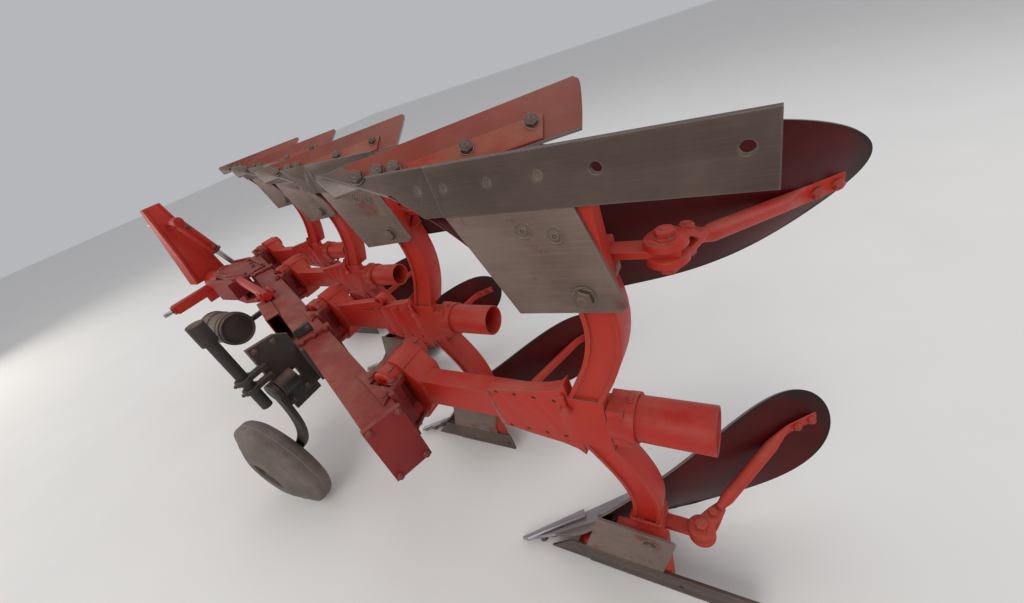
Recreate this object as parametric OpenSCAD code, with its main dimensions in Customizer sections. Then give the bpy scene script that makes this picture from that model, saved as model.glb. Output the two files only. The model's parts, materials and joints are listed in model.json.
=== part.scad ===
// A mounted reversible moldboard plough with four pairs of bodies, parked on its lower bodies.
// Working axes: x runs forward from the rear spring tube's end, y to the left and z up from the ground.
// The upper half of the frame is the mirror of the lower half in the middle plane.

/* [Layout] */
// Number of body pairs along the beam
bodies = 4; // [2:1:5]
// Distance between two bodies along the direction of travel
pitch_x = 950; // [900:10:1000]
// Furrow width, the distance between two bodies across the direction of travel
furrow_w = 400; // [380:10:420]
// Height of the middle plane, where the turnover axis lies
mid_h = 880; // [850:10:910]

/* [Beam] */
// Width of the main beam's section
beam_w = 140; // [120:5:150]
// Height of the main beam's section
beam_h = 200; // [160:5:220]
// Thickness of the bolted plates on the beam
plate_t = 20; // [12:1:25]

/* [Arms and legs] */
// Height of the arm's box section
arm_h = 124; // [110:2:140]
// Diameter of the round pivot bars that carry the arm
pivot_d = 100; // [80:2:110]
// Height of a pivot bar over the middle plane
pivot_z = 98; // [90:1:115]
// Outer diameter of the spring tube
tube_d = 135; // [120:1:145]
// Length of the spring tube behind its sleeve
tube_l = 206; // [180:2:230]
// Width of the leg seen from the side
leg_w = 92; // [80:1:100]
// Thickness of the leg across
leg_t = 90; // [70:1:96]

/* [Bodies] */
// Angle between the share's edge and the direction of travel, in degrees
share_angle = 42; // [38:1:46]
// Length of the share's cutting edge
share_l = 639; // [590:1:680]
// Height of the share's upper edge
share_h = 95; // [85:1:105]
// Length of the moldboard's level lines from the share's nose to its tail
tail_s = 1244; // [1150:2:1280]
// Plate thickness of the moldboard
board_t = 10; // [8:1:12]
// Height of the landside bar
landside_h = 112; // [100:1:120]
// Thickness of the landside bar
landside_t = 14; // [10:1:18]
// Diameter of the stay tube behind the moldboard
stay_d = 34; // [26:1:40]

/* [Depth wheel] */
// Diameter of the depth wheel over its tyre
wheel_d = 630; // [600:10:650]
// Width of the depth wheel's tyre
wheel_w = 180; // [160:5:220]
// Highest swing of the wheel's arm, in degrees
wheel_swing = 107; // [90:1:107]
// Distance of the wheel arm's pivot from the rear end
pivot_wx = 1870; // [1840:5:1900]

/* [Headstock] */
// Diameter of the turnover shaft
shaft_d = 110; // [90:1:120]
// Distance between the shoulders of the lower link pins
hitch_span = 825; // [800:1:965]
// Diameter of the lower link pins
hitch_pin_d = 36.6; // [28:0.1:37]
// Diameter of the top link pin
top_pin_d = 31.75; // [25:0.05:32]
// Height of the top link pin over the lower link pins
mast_h = 685; // [610:5:700]
// Radius of the crank that turns the frame over
crank_r = 200; // [180:5:220]

/* [Hidden] */

run_gap = 0.06;
touch = 0.1;
beam_turn = -atan2(furrow_w, pitch_x);
beam_step = norm([furrow_w, pitch_x]);
beam_end = [980, 270];
beam_l = 3250;
axis_y = -770;
mid_x = 2156.9;
mid_y = -675;

red = [0.78, 0.20, 0.12];
dark_red = [0.45, 0.13, 0.13];
steel = [0.55, 0.53, 0.50];
dark = [0.16, 0.15, 0.15];
bright = [0.75, 0.75, 0.76];

// Moves the working origin to the ground under the middle of the plough
module set_down() {
    translate([-mid_x, -mid_y, 0]) children();
}

// One copy of the children for every body along the beam
module each_body(first = 0) {
    for (k = [first:bodies - 1]) translate([k * pitch_x, -k * furrow_w, 0]) children();
}

// The upper bodies are the lower ones mirrored in the middle plane
module upper() {
    translate([0, 0, mid_h]) mirror([0, 0, 1]) translate([0, 0, -mid_h]) children();
}

// Children and their mirror in the plane z = 0
module both_sides() {
    children();
    mirror([0, 0, 1]) children();
}

// Children drawn in a frame whose x runs forward along the beam from its rear end, z from the middle plane
module on_beam() {
    translate([beam_end[0], beam_end[1], mid_h]) rotate([0, 0, beam_turn]) children();
}

// A side view profile in x and z, made t thick between y0 and y0 + t
module side_plate(y0, t, points) {
    translate([0, y0 + t, 0]) rotate([90, 0, 0]) linear_extrude(t) polygon(points);
}

// A profile in y and z, made t thick between x0 and x0 + t
module cross_plate(x0, t, points) {
    translate([x0, 0, 0]) rotate([90, 0, 90]) linear_extrude(t) polygon(points);
}

// A round bar along y
module cross_bar(d, y0, l) {
    translate([0, y0 + l, 0]) rotate([90, 0, 0]) cylinder(d = d, h = l, $fn = 48);
}

// A round bar along x from x0
module long_bar(d, x0, l) {
    translate([x0, 0, 0]) rotate([0, 90, 0]) cylinder(d = d, h = l, $fn = 48);
}

// Main beam

module main_beam() {
    color(dark_red) set_down() on_beam()
        translate([0, -beam_w / 2, -beam_h / 2]) cube([beam_l, beam_w, beam_h]);
}

// Bolted rear end plate, a little wider and taller than the beam
end_plate_over = 33;
module beam_end_plate() {
    color(dark_red) set_down() on_beam()
        translate([-plate_t, -beam_w / 2 - 4, -beam_h / 2 - end_plate_over])
            cube([plate_t, beam_w + 8, beam_h + 2 * end_plate_over]);
}

// Collars round the beam, one at the joint of its lengths behind the depth wheel's bracket and one before the yoke
flange_at = [905, 2545];
flange_rim = 20;
flange_t = 44;
module beam_flanges() {
    color(dark_red) set_down() on_beam() for (x = flange_at) translate([x, 0, 0]) difference() {
        translate([0, -beam_w / 2 - flange_rim, -beam_h / 2 - flange_rim])
            cube([flange_t, beam_w + 2 * flange_rim, beam_h + 2 * flange_rim]);
        translate([-1, -beam_w / 2 - touch, -beam_h / 2 - touch]) cube([flange_t + 2, beam_w + 2 * touch, beam_h + 2 * touch]);
    }
}

// Box along the beam's left side that carries the strut's rear end
sleeve_at = 1475;
sleeve_l = 375;
sleeve_w = 84;
module beam_sleeve() {
    color(dark_red) set_down() on_beam() translate([sleeve_at, beam_w / 2 + touch, -beam_h / 2 - 8]) difference() {
        cube([sleeve_l, sleeve_w, beam_h + 16]);
        translate([-1, 8, 8]) cube([sleeve_l - 8, sleeve_w - 16, beam_h]);
    }
}

// Arms. The head is bored for the two pivot bars and narrows to a box, whose left side grows into the deep web.

pivot_x = 1120;
near_y = 56;
box_w = 81;
box_rear = 282;
head_rear = 1010;
head_front = pivot_x + 4;
head_side = 60;
head_ring = pivot_d / 2 + 14;
web_w = 32;
doubler_t = 8;
web_half = [[690, 86], [580, 106], [460, 123], [412, 140], [389, 164], [387, 108], [box_rear + 3, 108]];
web_outline = concat(web_half, [for (i = [len(web_half) - 1:-1:0]) [web_half[i][0], -web_half[i][1]]]);
bolt_row = [650, 580, 510, 440];
bolt_z = 84;
module bolt_holes() {
    for (x = bolt_row) both_sides() translate([x, 0, bolt_z]) cross_bar(15, near_y - box_w - 20, box_w + 40);
}
head_half = [[head_rear, 0], [head_rear, arm_h / 2], [head_rear + 48, pivot_z + 24],
    for (a = [150:-15:15]) [pivot_x - 8, pivot_z] + head_ring * [cos(a), sin(a)], [head_front, pivot_z], [head_front, 0]];
module arms() {
    color(red) set_down() each_body() translate([0, 0, mid_h]) difference() {
        union() {
            side_plate(near_y - box_w, box_w - doubler_t, [[box_rear, -arm_h / 2], [head_rear + 20, -arm_h / 2],
                [head_rear + 20, arm_h / 2], [box_rear, arm_h / 2]]);
            side_plate(near_y - doubler_t - web_w, web_w, web_outline);
            both_sides() side_plate(-head_side, head_side + near_y, [for (p = head_half) [min(p[0], head_front), p[1]]]);
        }
        both_sides() translate([pivot_x, 0, pivot_z]) cross_bar(pivot_d + 2 * run_gap, -head_side - 1, 2 * head_side + 2);
        bolt_holes();
    }
}

module doubler_plates() {
    color(red) set_down() each_body() translate([0, 0, mid_h]) difference() {
        side_plate(near_y - doubler_t + touch, doubler_t, web_outline);
        bolt_holes();
    }
}

// The locking bar on top of the second arm, with an eye at its rear end
module link_bar() {
    color(red) set_down() translate([pitch_x, -furrow_w, mid_h]) difference() {
        union() {
            side_plate(18, 40, [[634, 97], [691, 86.3], [985, 62.4], [1000, 92], [636, 134]]);
            translate([620, 0, 134]) cross_bar(56, 14, 48);
        }
        translate([620, 0, 134]) cross_bar(28, 13, 50);
    }
}

// Cradles bolted to the beam's right side hold each arm's pivot bars from the front
lug_t = 42;
lug_y = near_y + 6;
bar_end_y = lug_y + lug_t + 7;
cradle_front = pivot_x + 95;
cradle_plate_h = 2 * pivot_z + 34;
lug = [[pivot_x - 30, pivot_z + 46], [pivot_x + 40, pivot_z + 46], [cradle_front, pivot_z], [cradle_front, 0], [pivot_x - 30, 0]];
strap = [[pivot_x - 60, lug_y + 4], [pivot_x - 90, 210], [pivot_x + 150, 112], [cradle_front + 6, lug_y], [cradle_front + 6, -95],
    [cradle_front - 25, -95], [cradle_front - 25, lug_y + 4]];
module arm_brackets() {
    color(dark_red) set_down() each_body() difference() {
        union() {
            translate([0, 0, mid_h]) {
                both_sides() {
                    side_plate(lug_y, lug_t, lug);
                    side_plate(-head_side - 36, 30, lug);
                    translate([0, 0, beam_h / 2 + touch]) linear_extrude(12) polygon(strap);
                }
                translate([cradle_front - 25, -head_side - 36, -pivot_z]) cube([25, lug_y + head_side + 40, 2 * pivot_z]);
            }
            intersection() {
                translate([0, 0, mid_h - beam_h / 2 + 6]) linear_extrude(beam_h - 12)
                    polygon([[pivot_x - 60, lug_y + lug_t - 1], [cradle_front, lug_y + lug_t - 1], [cradle_front, 400], [pivot_x - 60, 400]]);
                on_beam() translate([0, -beam_w / 2 - 200 - touch, -beam_h]) cube([500, 200, 2 * beam_h]);
            }
            on_beam() translate([80, -beam_w / 2 - 20 - touch, -cradle_plate_h / 2]) cube([225, 20, cradle_plate_h]);
        }
        on_beam() translate([-100, -beam_w / 2 - touch, -beam_h / 2 - touch / 2]) cube([800, beam_w + 2 * touch, beam_h + touch]);
        translate([pivot_x, 0, mid_h]) both_sides() translate([0, 0, pivot_z]) {
            cross_bar(pivot_d + 2 * run_gap, -150, 260);
            cross_bar(pivot_d + 16, bar_end_y - 12, 40);
        }
    }
}

module pivot_bars() {
    color(red) set_down() each_body() translate([pivot_x, 0, mid_h]) both_sides() translate([0, 0, pivot_z]) difference() {
        cross_bar(pivot_d, -100, 100 + bar_end_y);
        translate([0, bar_end_y + 1, 0]) rotate([90, 0, 0]) cylinder(d = 26, h = 30, $fn = 32);
    }
}

// Spring tubes, open at the rear, in sleeves at the arm's end

sleeve_x = tube_l;
tube_floor = 36;
module tube_sleeves() {
    color(dark_red) set_down() each_body() translate([0, 0, mid_h]) difference() {
        union() {
            long_bar(tube_d + 18, sleeve_x, 30);
            long_bar(tube_d + 8, sleeve_x, box_rear - touch - sleeve_x);
            translate([232, near_y - leg_t, -tube_d / 2 - 8]) cube([box_rear - touch - 232, leg_t, tube_d + 16]);
        }
        long_bar(tube_d + 2 * run_gap, sleeve_x - 1, box_rear - 20 - sleeve_x);
    }
}

module spring_tubes() {
    color(red) set_down() each_body() translate([0, 0, mid_h]) difference() {
        long_bar(tube_d, 0, box_rear - 21);
        long_bar(tube_d - 12, -1, box_rear - 21 - tube_floor);
    }
}

// Legs: a curved bar with raised flanges along both edges, cut off obliquely behind the moldboard

leg_y = near_y - leg_t;
leg_foot = 500;
// Control points of the leg's middle line, heights measured from the middle plane
leg_curve = [[346, 90], [278, 210], [186, 340], [254, 520]];
function bez(p, t) = pow(1 - t, 3) * p[0] + 3 * pow(1 - t, 2) * t * p[1]
    + 3 * (1 - t) * t * t * p[2] + pow(t, 3) * p[3];
function bez_dir(p, t) = let (d = 3 * (pow(1 - t, 2) * (p[1] - p[0]) + 2 * (1 - t) * t * (p[2] - p[1])
    + t * t * (p[3] - p[2]))) d / norm(d);
function beside(p, t, off) = let (d = bez_dir(p, t)) bez(p, t) + off * [d[1], -d[0]];
leg_steps = 14;
leg_flange = 13;
leg_recess = 9;
function strip(p, a, b) = concat([for (i = [0:leg_steps]) beside(p, i / leg_steps, a)],
    [for (i = [leg_steps:-1:0]) beside(p, i / leg_steps, b)]);
module leg() {
    difference() {
        intersection() {
            union() {
                side_plate(leg_y + leg_recess, leg_t - 2 * leg_recess, strip(leg_curve, -leg_w / 2 + leg_flange - 1, leg_w / 2 - leg_flange + 1));
                side_plate(leg_y, leg_t, strip(leg_curve, -leg_w / 2, -leg_w / 2 + leg_flange));
                side_plate(leg_y, leg_t, strip(leg_curve, leg_w / 2 - leg_flange, leg_w / 2));
            }
            translate([0, -200, 108 + touch]) cube([387 - touch, 400, leg_foot - 108]);
        }
        translate([273, 10, mid_h - 472]) rotate([0, 0, share_angle + 1]) translate([-300, -200, 0]) cube([500, 200, 200]);
    }
}
module upper_legs() {
    color(red) set_down() each_body() translate([0, 0, mid_h]) leg();
}
module lower_legs() {
    color(red) set_down() each_body() translate([0, 0, mid_h]) mirror([0, 0, 1]) leg();
}

// Plough bodies. Heights u are measured from the ground for the lower bodies.

side_y = 116;
edge_u = 9;
edge_out = 36;
curve_r = 651;
low_slope = 38;
nose = [764, 116];
nose_u = 62;
board_angle = 38;
share_normal = [sin(board_angle), -cos(board_angle)];
wing_turn = 4.9;
// Slope of the board's arc at height u, and how far the surface lies behind the nose there; the share below is straight
function slope(u) = acos(cos(low_slope) - (u - nose_u) / curve_r);
function arc_back(u) = curve_r * (sin(slope(u)) - sin(low_slope));
share_rise = share_h - edge_u;
share_run = edge_out + arc_back(share_h);
share_slope = atan2(share_rise, share_run);
function back(u) = u < share_h ? share_run * (u - edge_u) / share_rise - edge_out : arc_back(u);
// The level lines turn from the share's edge to the board's angle over the share, then outward with height
function turn(u) = u < share_h ? share_angle + (board_angle - share_angle) * (u - edge_u) / share_rise
    : board_angle + wing_turn * pow(max(0, u - 135) / 385, 0.46);
// Sideways bow of a level line, growing with the square of the distance along it
function bow(u, s) = (u < share_h ? (u - edge_u) / share_rise : 1) * (-1.95 + 1.923 * u / 400) * pow(s / 1000, 2) * 100;
function level_start(u) = nose - back(u) * share_normal;
function on_level(u, s) = let (a = turn(u), p = level_start(u), b = bow(u, s))
    [p[0] - s * cos(a) + b * sin(a), p[1] - s * sin(a) - b * cos(a), u];
// Distance along the level line at which it crosses the plane y
function reach(u, y) = (level_start(u)[1] - y) / sin(turn(u));

// A curved plate from a grid of points, thickened backward by t
module curved_plate(grid, t) {
    n = len(grid);
    m = len(grid[0]);
    function normal(i, j) = let (a = grid[min(i + 1, n - 1)][j] - grid[max(i - 1, 0)][j],
        b = grid[i][min(j + 1, m - 1)] - grid[i][max(j - 1, 0)], c = cross(a, b)) c / norm(c);
    front = [for (i = [0:n - 1]) for (j = [0:m - 1]) grid[i][j]];
    rear = [for (i = [0:n - 1]) for (j = [0:m - 1]) grid[i][j] + t * normal(i, j)];
    q = n * m;
    function quad(a, b, c, d) = [[a, b, c], [a, c, d]];
    faces = concat(
        [for (i = [0:n - 2]) for (j = [0:m - 2]) each quad(i * m + j, i * m + j + 1, (i + 1) * m + j + 1, (i + 1) * m + j)],
        [for (i = [0:n - 2]) for (j = [0:m - 2]) each quad(q + i * m + j, q + (i + 1) * m + j, q + (i + 1) * m + j + 1, q + i * m + j + 1)],
        [for (i = [0:n - 2]) each quad(i * m, (i + 1) * m, q + (i + 1) * m, q + i * m)],
        [for (i = [0:n - 2]) each quad(i * m + m - 1, q + i * m + m - 1, q + (i + 1) * m + m - 1, (i + 1) * m + m - 1)],
        [for (j = [0:m - 2]) each quad(j, q + j, q + j + 1, j + 1)],
        [for (j = [0:m - 2]) each quad((n - 1) * m + j, (n - 1) * m + j + 1, q + (n - 1) * m + j + 1, q + (n - 1) * m + j)]);
    polyhedron(concat(front, rear), faces, convexity = 6);
}

// Moldboard outline against the distance s along the level lines: two sloping edges that close in an ellipse at the tail
shin_y = side_y - landside_t - 14;
round_s = tail_s - 616;
function edge_high(s) = 480 + 0.241 * (s - 600);
function edge_low(s) = 113 + 0.122 * (s - 600);
function closing(s) = s < round_s ? 1 : sqrt(max(0, 1 - pow((s - round_s) / (tail_s - round_s), 2)));
function board_high(s) = let (c = (edge_high(s) + edge_low(s)) / 2) c + (edge_high(s) - c) * closing(s);
function board_low(s) = let (c = (edge_high(s) + edge_low(s)) / 2) max(share_h + touch, c + (edge_low(s) - c) * closing(s));
board_n = 18;
board_m = 8;
shin_s = reach(290, shin_y);
board_grid = [for (i = [0:board_n]) let (g = 1 - pow(1 - 0.985 * i / board_n, 2), s = shin_s + g * (tail_s - shin_s))
    [for (j = [0:board_m]) let (u = board_low(s) + (board_high(s) - board_low(s)) * j / board_m, s0 = reach(u, shin_y))
        on_level(u, s0 + g * (tail_s - s0))]];
module board() {
    curved_plate(board_grid, board_t);
}
module upper_moldboards() {
    color(steel) set_down() each_body() upper() board();
}
module lower_moldboards() {
    color(steel) set_down() each_body() board();
}

// Share: the lower strip of the same surface
share_t = 10;
tip_s = -46;
wing_cut = 70;
share_grid = [for (i = [0:8]) [for (j = [0:3]) let (u = edge_u + share_rise * j / 3,
    s0 = tip_s + (reach(share_h, shin_y) - tip_s) * j / 3, s1 = share_l - wing_cut * j / 3) on_level(u, s0 + (s1 - s0) * i / 8)]];
module share() {
    curved_plate(share_grid, share_t);
}
module upper_shares() {
    color(bright) set_down() each_body() upper() share();
}
module lower_shares() {
    color(bright) set_down() each_body() share();
}

// Point: a thick plate lying on the share's nose, longer along the edge than above it
point_t = 13;
point_s = [-62, 40, 105, 160, 210, 250];
point_lift = (point_t + 1) * [sin(share_slope) * share_normal[0], sin(share_slope) * share_normal[1], cos(share_slope)];
point_grid = [for (i = [0:5]) [for (j = [0:2]) on_level(edge_u - 2 + 24 * j, point_s[i] + (i < 1 ? 16 * j : 0)) + point_lift]];
module body_point() {
    curved_plate(point_grid, point_t);
}
module upper_points() {
    color(bright) set_down() each_body() upper() body_point();
}
module lower_points() {
    color(bright) set_down() each_body() body_point();
}

// Frog: joins the leg's foot to the share, the moldboard and the landside, with a lug for the stay
frog_y = near_y + 3;
foot_u = mid_h - leg_foot;
// The landsides rise a little toward the rear
function bar_low(x) = 48 - 0.025 * x;
function bar_high(x) = bar_low(x) + landside_h;
frog_side = [[175, 60], [165, foot_u - 2], [340, foot_u - 2], [362, 330], [428, 240], [505, 152], [552, 100], [552, 60]];
// Front bolt of the stay, on the frog's lug
stay_from = [74, 0, foot_u - 54];
lug_plate_t = 18;
module frog() {
    side_plate(frog_y, side_y - landside_t - touch - frog_y, frog_side);
    side_plate(leg_y + 4, frog_y - leg_y - 3, [[190, foot_u - 90], [185, foot_u - 2], [255, foot_u - 2], [235, foot_u - 90]]);
    translate([stay_from[0] - 30, -26, stay_from[2] - lug_plate_t]) cube([205 - stay_from[0] + 30, 52, lug_plate_t]);
    translate([188, -20, stay_from[2] - lug_plate_t]) cube([20, 40, foot_u - stay_from[2] + 10]);
}
module upper_frogs() {
    color(red) set_down() each_body() upper() frog();
}
module lower_frogs() {
    color(red) set_down() each_body() frog();
}

frog_plate = [[200, bar_high(200) + 3], [138, foot_u + 5], [150, foot_u + 16], [396, foot_u + 30], [498, bar_high(498) + 3]];
module frog_side_plate() {
    side_plate(side_y - landside_t, landside_t - 2, frog_plate);
}
module upper_frog_plates() {
    color(steel) set_down() each_body() upper() frog_side_plate();
}
module lower_frog_plates() {
    color(steel) set_down() each_body() frog_side_plate();
}

// Landsides: a pointed front plate on every body and a bar behind it, longest on the rear body
joint_x = 505;
front_tip = 680;
module front_landside() {
    side_plate(side_y - landside_t, landside_t, [[joint_x, bar_low(joint_x)], [front_tip, bar_low(front_tip)],
        [560, bar_high(560)], [joint_x, bar_high(joint_x)]]);
}
bar_end = 120;
rear_end = -114;
module landside_bar(x_end) {
    side_plate(side_y - landside_t, landside_t, [[x_end, bar_low(x_end)], [joint_x - 3, bar_low(joint_x)],
        [joint_x - 3, bar_high(joint_x)], [x_end, bar_high(x_end)]]);
}
module upper_landsides() {
    color(steel) set_down() upper() {
        each_body() front_landside();
        each_body(1) landside_bar(bar_end);
    }
}
module lower_landsides() {
    color(steel) set_down() {
        each_body() front_landside();
        each_body(1) landside_bar(bar_end);
    }
}
module upper_rear_landsides() {
    color(steel) set_down() upper() landside_bar(rear_end);
}
module lower_rear_landsides() {
    color(steel) set_down() landside_bar(rear_end);
}

// Stays: tubes from the frog's lug to the back of the moldboard's tail
tail_u = 412;
tail_back = 118;
tail_at = on_level(tail_u, tail_s - tail_back);
tail_rise = on_level(tail_u + 20, tail_s - tail_back) - on_level(tail_u - 20, tail_s - tail_back);
tail_lean = atan2(tail_rise[1] * cos(turn(tail_u)) - tail_rise[0] * sin(turn(tail_u)), tail_rise[2]);
strap_t = 10;
stay_to = [tail_at[0] - 11, tail_at[1] + 14, tail_at[2]];
stay_strap = 110;
module stay() {
    v = stay_to - stay_from;
    l = norm(v);
    translate(stay_from) rotate([0, 0, atan2(v[1], v[0])]) {
        translate([-26, -25, touch]) cube([26 + stay_strap, 50, 16]);
        translate([0, 0, touch + 8]) rotate([0, -atan2(v[2], norm([v[0], v[1]])), 0]) {
            long_bar(stay_d, stay_strap - 30, l - stay_strap - 14);
        }
    }
    translate(tail_at) rotate([0, 0, 180 + turn(tail_u)]) rotate([tail_lean, 0, 0])
        translate([-80, -board_t - strap_t - 1.8, -24]) cube([160, strap_t, 48]);
}
module upper_stays() {
    color(red) set_down() each_body() upper() stay();
}
module lower_stays() {
    color(red) set_down() each_body() stay();
}

// Depth wheel on a swinging arm, with its stalk held in clamps on a plate across the beam

wheel_x = pivot_wx + 390;
wheel_y = 312;
arm_pin_d = 60;
arm_pin_y = 184;
plate_wt = 24;
stalk_y = 262;
stalk_d = 50;
// Corners of the plate in y and z
wheel_plate = [[arm_pin_y, -112], [arm_pin_y, 245], [48, 228], [-37, 168], [-120, 168], [-120, -112]];
module wheel_bracket() {
    color(dark) set_down() difference() {
        union() {
            translate([0, 0, mid_h]) cross_plate(pivot_wx - plate_wt / 2, plate_wt, wheel_plate);
            translate([0, 0, mid_h]) cross_plate(pivot_wx - 8, 16, [[20, -150], [170, -150], [170, -110], [20, -110]]);
            translate([pivot_wx, 0, mid_h]) cross_bar(arm_pin_d + 44, 90, arm_pin_y - 90);
            for (z = [60, 115]) translate([pivot_wx - 32, arm_pin_y - 20, mid_h + z + 14]) cube([34, stalk_y - arm_pin_y + 20, 24]);
            on_beam() translate([860, beam_w / 2 + touch, -beam_h / 2]) cube([150, 20, beam_h]);
        }
        on_beam() translate([0, -beam_w / 2 - touch, -beam_h / 2 - touch]) cube([beam_l, beam_w + 2 * touch, beam_h + 2 * touch]);
        on_beam() translate([0, -beam_w / 2 - 400, -beam_h]) cube([beam_l, 400 - 60, beam_h * 3]);
        on_beam() translate([flange_at[0] - touch, -beam_w, -beam_h]) cube([flange_t + 2 * touch, beam_w * 1.5 + flange_rim + touch, beam_h * 2]);
        translate([pivot_wx, 0, mid_h]) cross_bar(arm_pin_d + 2 * run_gap, 60, 200);
        translate([pivot_wx, stalk_y, mid_h - 60]) cylinder(d = stalk_d + 2 * touch, h = 300, $fn = 32);
    }
}

module wheel_stalk() {
    color(dark) set_down() translate([pivot_wx, stalk_y, mid_h - 30]) {
        cylinder(d = stalk_d, h = 390, $fn = 32);
        translate([0, 0, 390]) cylinder(d = 72, h = 102, $fn = 32);
    }
}

// The arm hangs from its pin under the stalk and curves down and forward to the wheel's axle
wheel_arm_curve = [[0, 0], [-40, -250], [120, -400], [390, wheel_d / 2 - mid_h]];
arm_t = 26;
module wheel_arm() {
    color(dark) set_down() {
        translate([pivot_wx, 0, mid_h]) {
            cross_bar(arm_pin_d, 96, 110);
            cross_bar(arm_pin_d + 40, arm_pin_y + 6, arm_t);
            side_plate(arm_pin_y + 6, arm_t, strip(wheel_arm_curve, -27, 27));
        }
        translate([wheel_x, 0, wheel_d / 2]) cross_bar(60, arm_pin_y + 6, wheel_y - 30 - arm_pin_y);
    }
}

hub_d = 200;
axle_gap = 61;
module wheel_hub() {
    color(steel) set_down() translate([wheel_x, 0, wheel_d / 2]) difference() {
        cross_bar(hub_d, wheel_y - wheel_w / 2 + 30, wheel_w - 50);
        cross_bar(axle_gap, wheel_y - wheel_w / 2, wheel_w / 2);
    }
}

module wheel_tyre() {
    color(steel) set_down() translate([wheel_x, wheel_y + wheel_w / 2, wheel_d / 2]) rotate([90, 0, 0]) difference() {
        cylinder(d = wheel_d, h = wheel_w, $fn = 96);
        translate([0, 0, -1]) cylinder(d = hub_d + 2 * run_gap, h = wheel_w + 2, $fn = 64);
    }
}

// Round drum beside the beam, on a curved bar from the box's front
drum_at = [2890, -175];
drum_d = 210;
drum_l = 300;
module canister() {
    color(dark) set_down() difference() {
        translate([drum_at[0], drum_at[1], mid_h]) {
            long_bar(drum_d, 0, drum_l);
            long_bar(drum_d + 16, 20, 34);
            translate([20, -340, -30]) cube([34, 340, 30]);
        }
        on_beam() translate([0, -beam_w / 2 - touch, -beam_h / 2]) cube([beam_l, beam_w + 2 * touch, beam_h]);
    }
}

// Turnover gear and headstock

yoke_x = 4040;
housing_x = 4120;
housing_l = 270;
housing_d = 190;
disc_d = 280;
disc_t = 34;
cyl_x = 4240;
cyl_top = 600;
crank_boss = 56;
module turnover_shaft() {
    color(bright) set_down() translate([0, axis_y, mid_h])
        long_bar(shaft_d, yoke_x + disc_t / 2, housing_x + housing_l - 20 - yoke_x);
}

yoke_plan = [[3400, -800], [3440, -640], [3700, -600], [yoke_x + 1, -660], [yoke_x + 1, -880], [3830, -930]];
yoke_plate_t = 24;
module turnover_yoke() {
    color(dark_red) set_down() difference() {
        union() {
            translate([0, 0, mid_h]) {
                both_sides() translate([0, 0, beam_h / 2 + touch]) linear_extrude(yoke_plate_t) polygon(yoke_plan);
                translate([0, axis_y, 0]) long_bar(disc_d, yoke_x, disc_t);
                translate([3620, -620, -beam_h / 2 - 1]) cube([yoke_x - 3600, 22, beam_h + 2]);
                cross_plate(3400, 22, [[-470, 10], [-470, 142], [-560, 142], [-640, 124], [-640, 40], [-600, 10]]);
                translate([3410, -700, 100 + touch]) cube([60, 160, 24]);
            }
            translate([yoke_x, axis_y, mid_h]) {
                translate([0, -crank_r, -crank_boss / 2]) cube([disc_t, crank_r - disc_d / 2 + 20, crank_boss]);
                translate([0, -crank_r, 0]) long_bar(crank_boss, 0, cyl_x - 30 - yoke_x);
            }
        }
        translate([0, axis_y, mid_h]) long_bar(shaft_d + 2 * touch, yoke_x + disc_t / 2, 60);
    }
}

// Strut between the box on the beam and the yoke's plate
strut_d = 60;
strut_from = [2640, -352, mid_h + beam_h / 2 + 11 + strut_d / 2];
strut_to = [3389, -566, mid_h + 122];
module align_strut() {
    v = strut_to - strut_from;
    color(red) set_down() translate(strut_from) rotate([0, atan2(-v[2], norm([v[0], v[1]])), atan2(v[1], v[0])]) long_bar(strut_d, 0, norm(v));
}

crank_lean = -atan2(crank_r, cyl_top);
barrel_d = 90;
barrel_l = 360;
rod_d = 45;
eye_d = 80;
eye_pin_d = 36;
module turnover_barrel() {
    color(red) set_down() translate([cyl_x, axis_y, mid_h + cyl_top]) rotate([crank_lean, 0, 0]) difference() {
        union() {
            translate([0, 0, -barrel_l]) cylinder(d = barrel_d, h = barrel_l - 30, $fn = 48);
            long_bar(eye_d, -barrel_d / 2, barrel_d);
        }
        translate([0, 0, -barrel_l - 1]) cylinder(d = rod_d + 2 * run_gap, h = 40, $fn = 48);
        translate([0, 0, 18 - barrel_l]) cylinder(d = rod_d + 14, h = barrel_l - 98, $fn = 48);
        long_bar(eye_pin_d + 2 * run_gap, -barrel_d, 2 * barrel_d);
    }
}
module turnover_rod() {
    reach_l = norm([crank_r, cyl_top]);
    color(bright) set_down() translate([cyl_x, axis_y, mid_h + cyl_top]) rotate([crank_lean, 0, 0]) {
        translate([0, 0, -reach_l + 20]) cylinder(d = rod_d, h = reach_l - barrel_l, $fn = 32);
        translate([0, 0, -reach_l]) long_bar(eye_d - 14, -22, 44);
    }
}

module turnover_housing() {
    color(red) set_down() translate([0, axis_y, mid_h]) difference() {
        long_bar(housing_d, housing_x, housing_l);
        long_bar(shaft_d + 2 * run_gap, housing_x - 1, housing_l + 2);
    }
}

tower_x = housing_x + housing_l;
tower_d = 150;
tower_lean = 90;
hitch_x = tower_x + 50;
hitch_z = mid_h - 50;
bar_w = 84;
tower_low = 48;
tower_high = 775;
mast_lug = 40;
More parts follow.
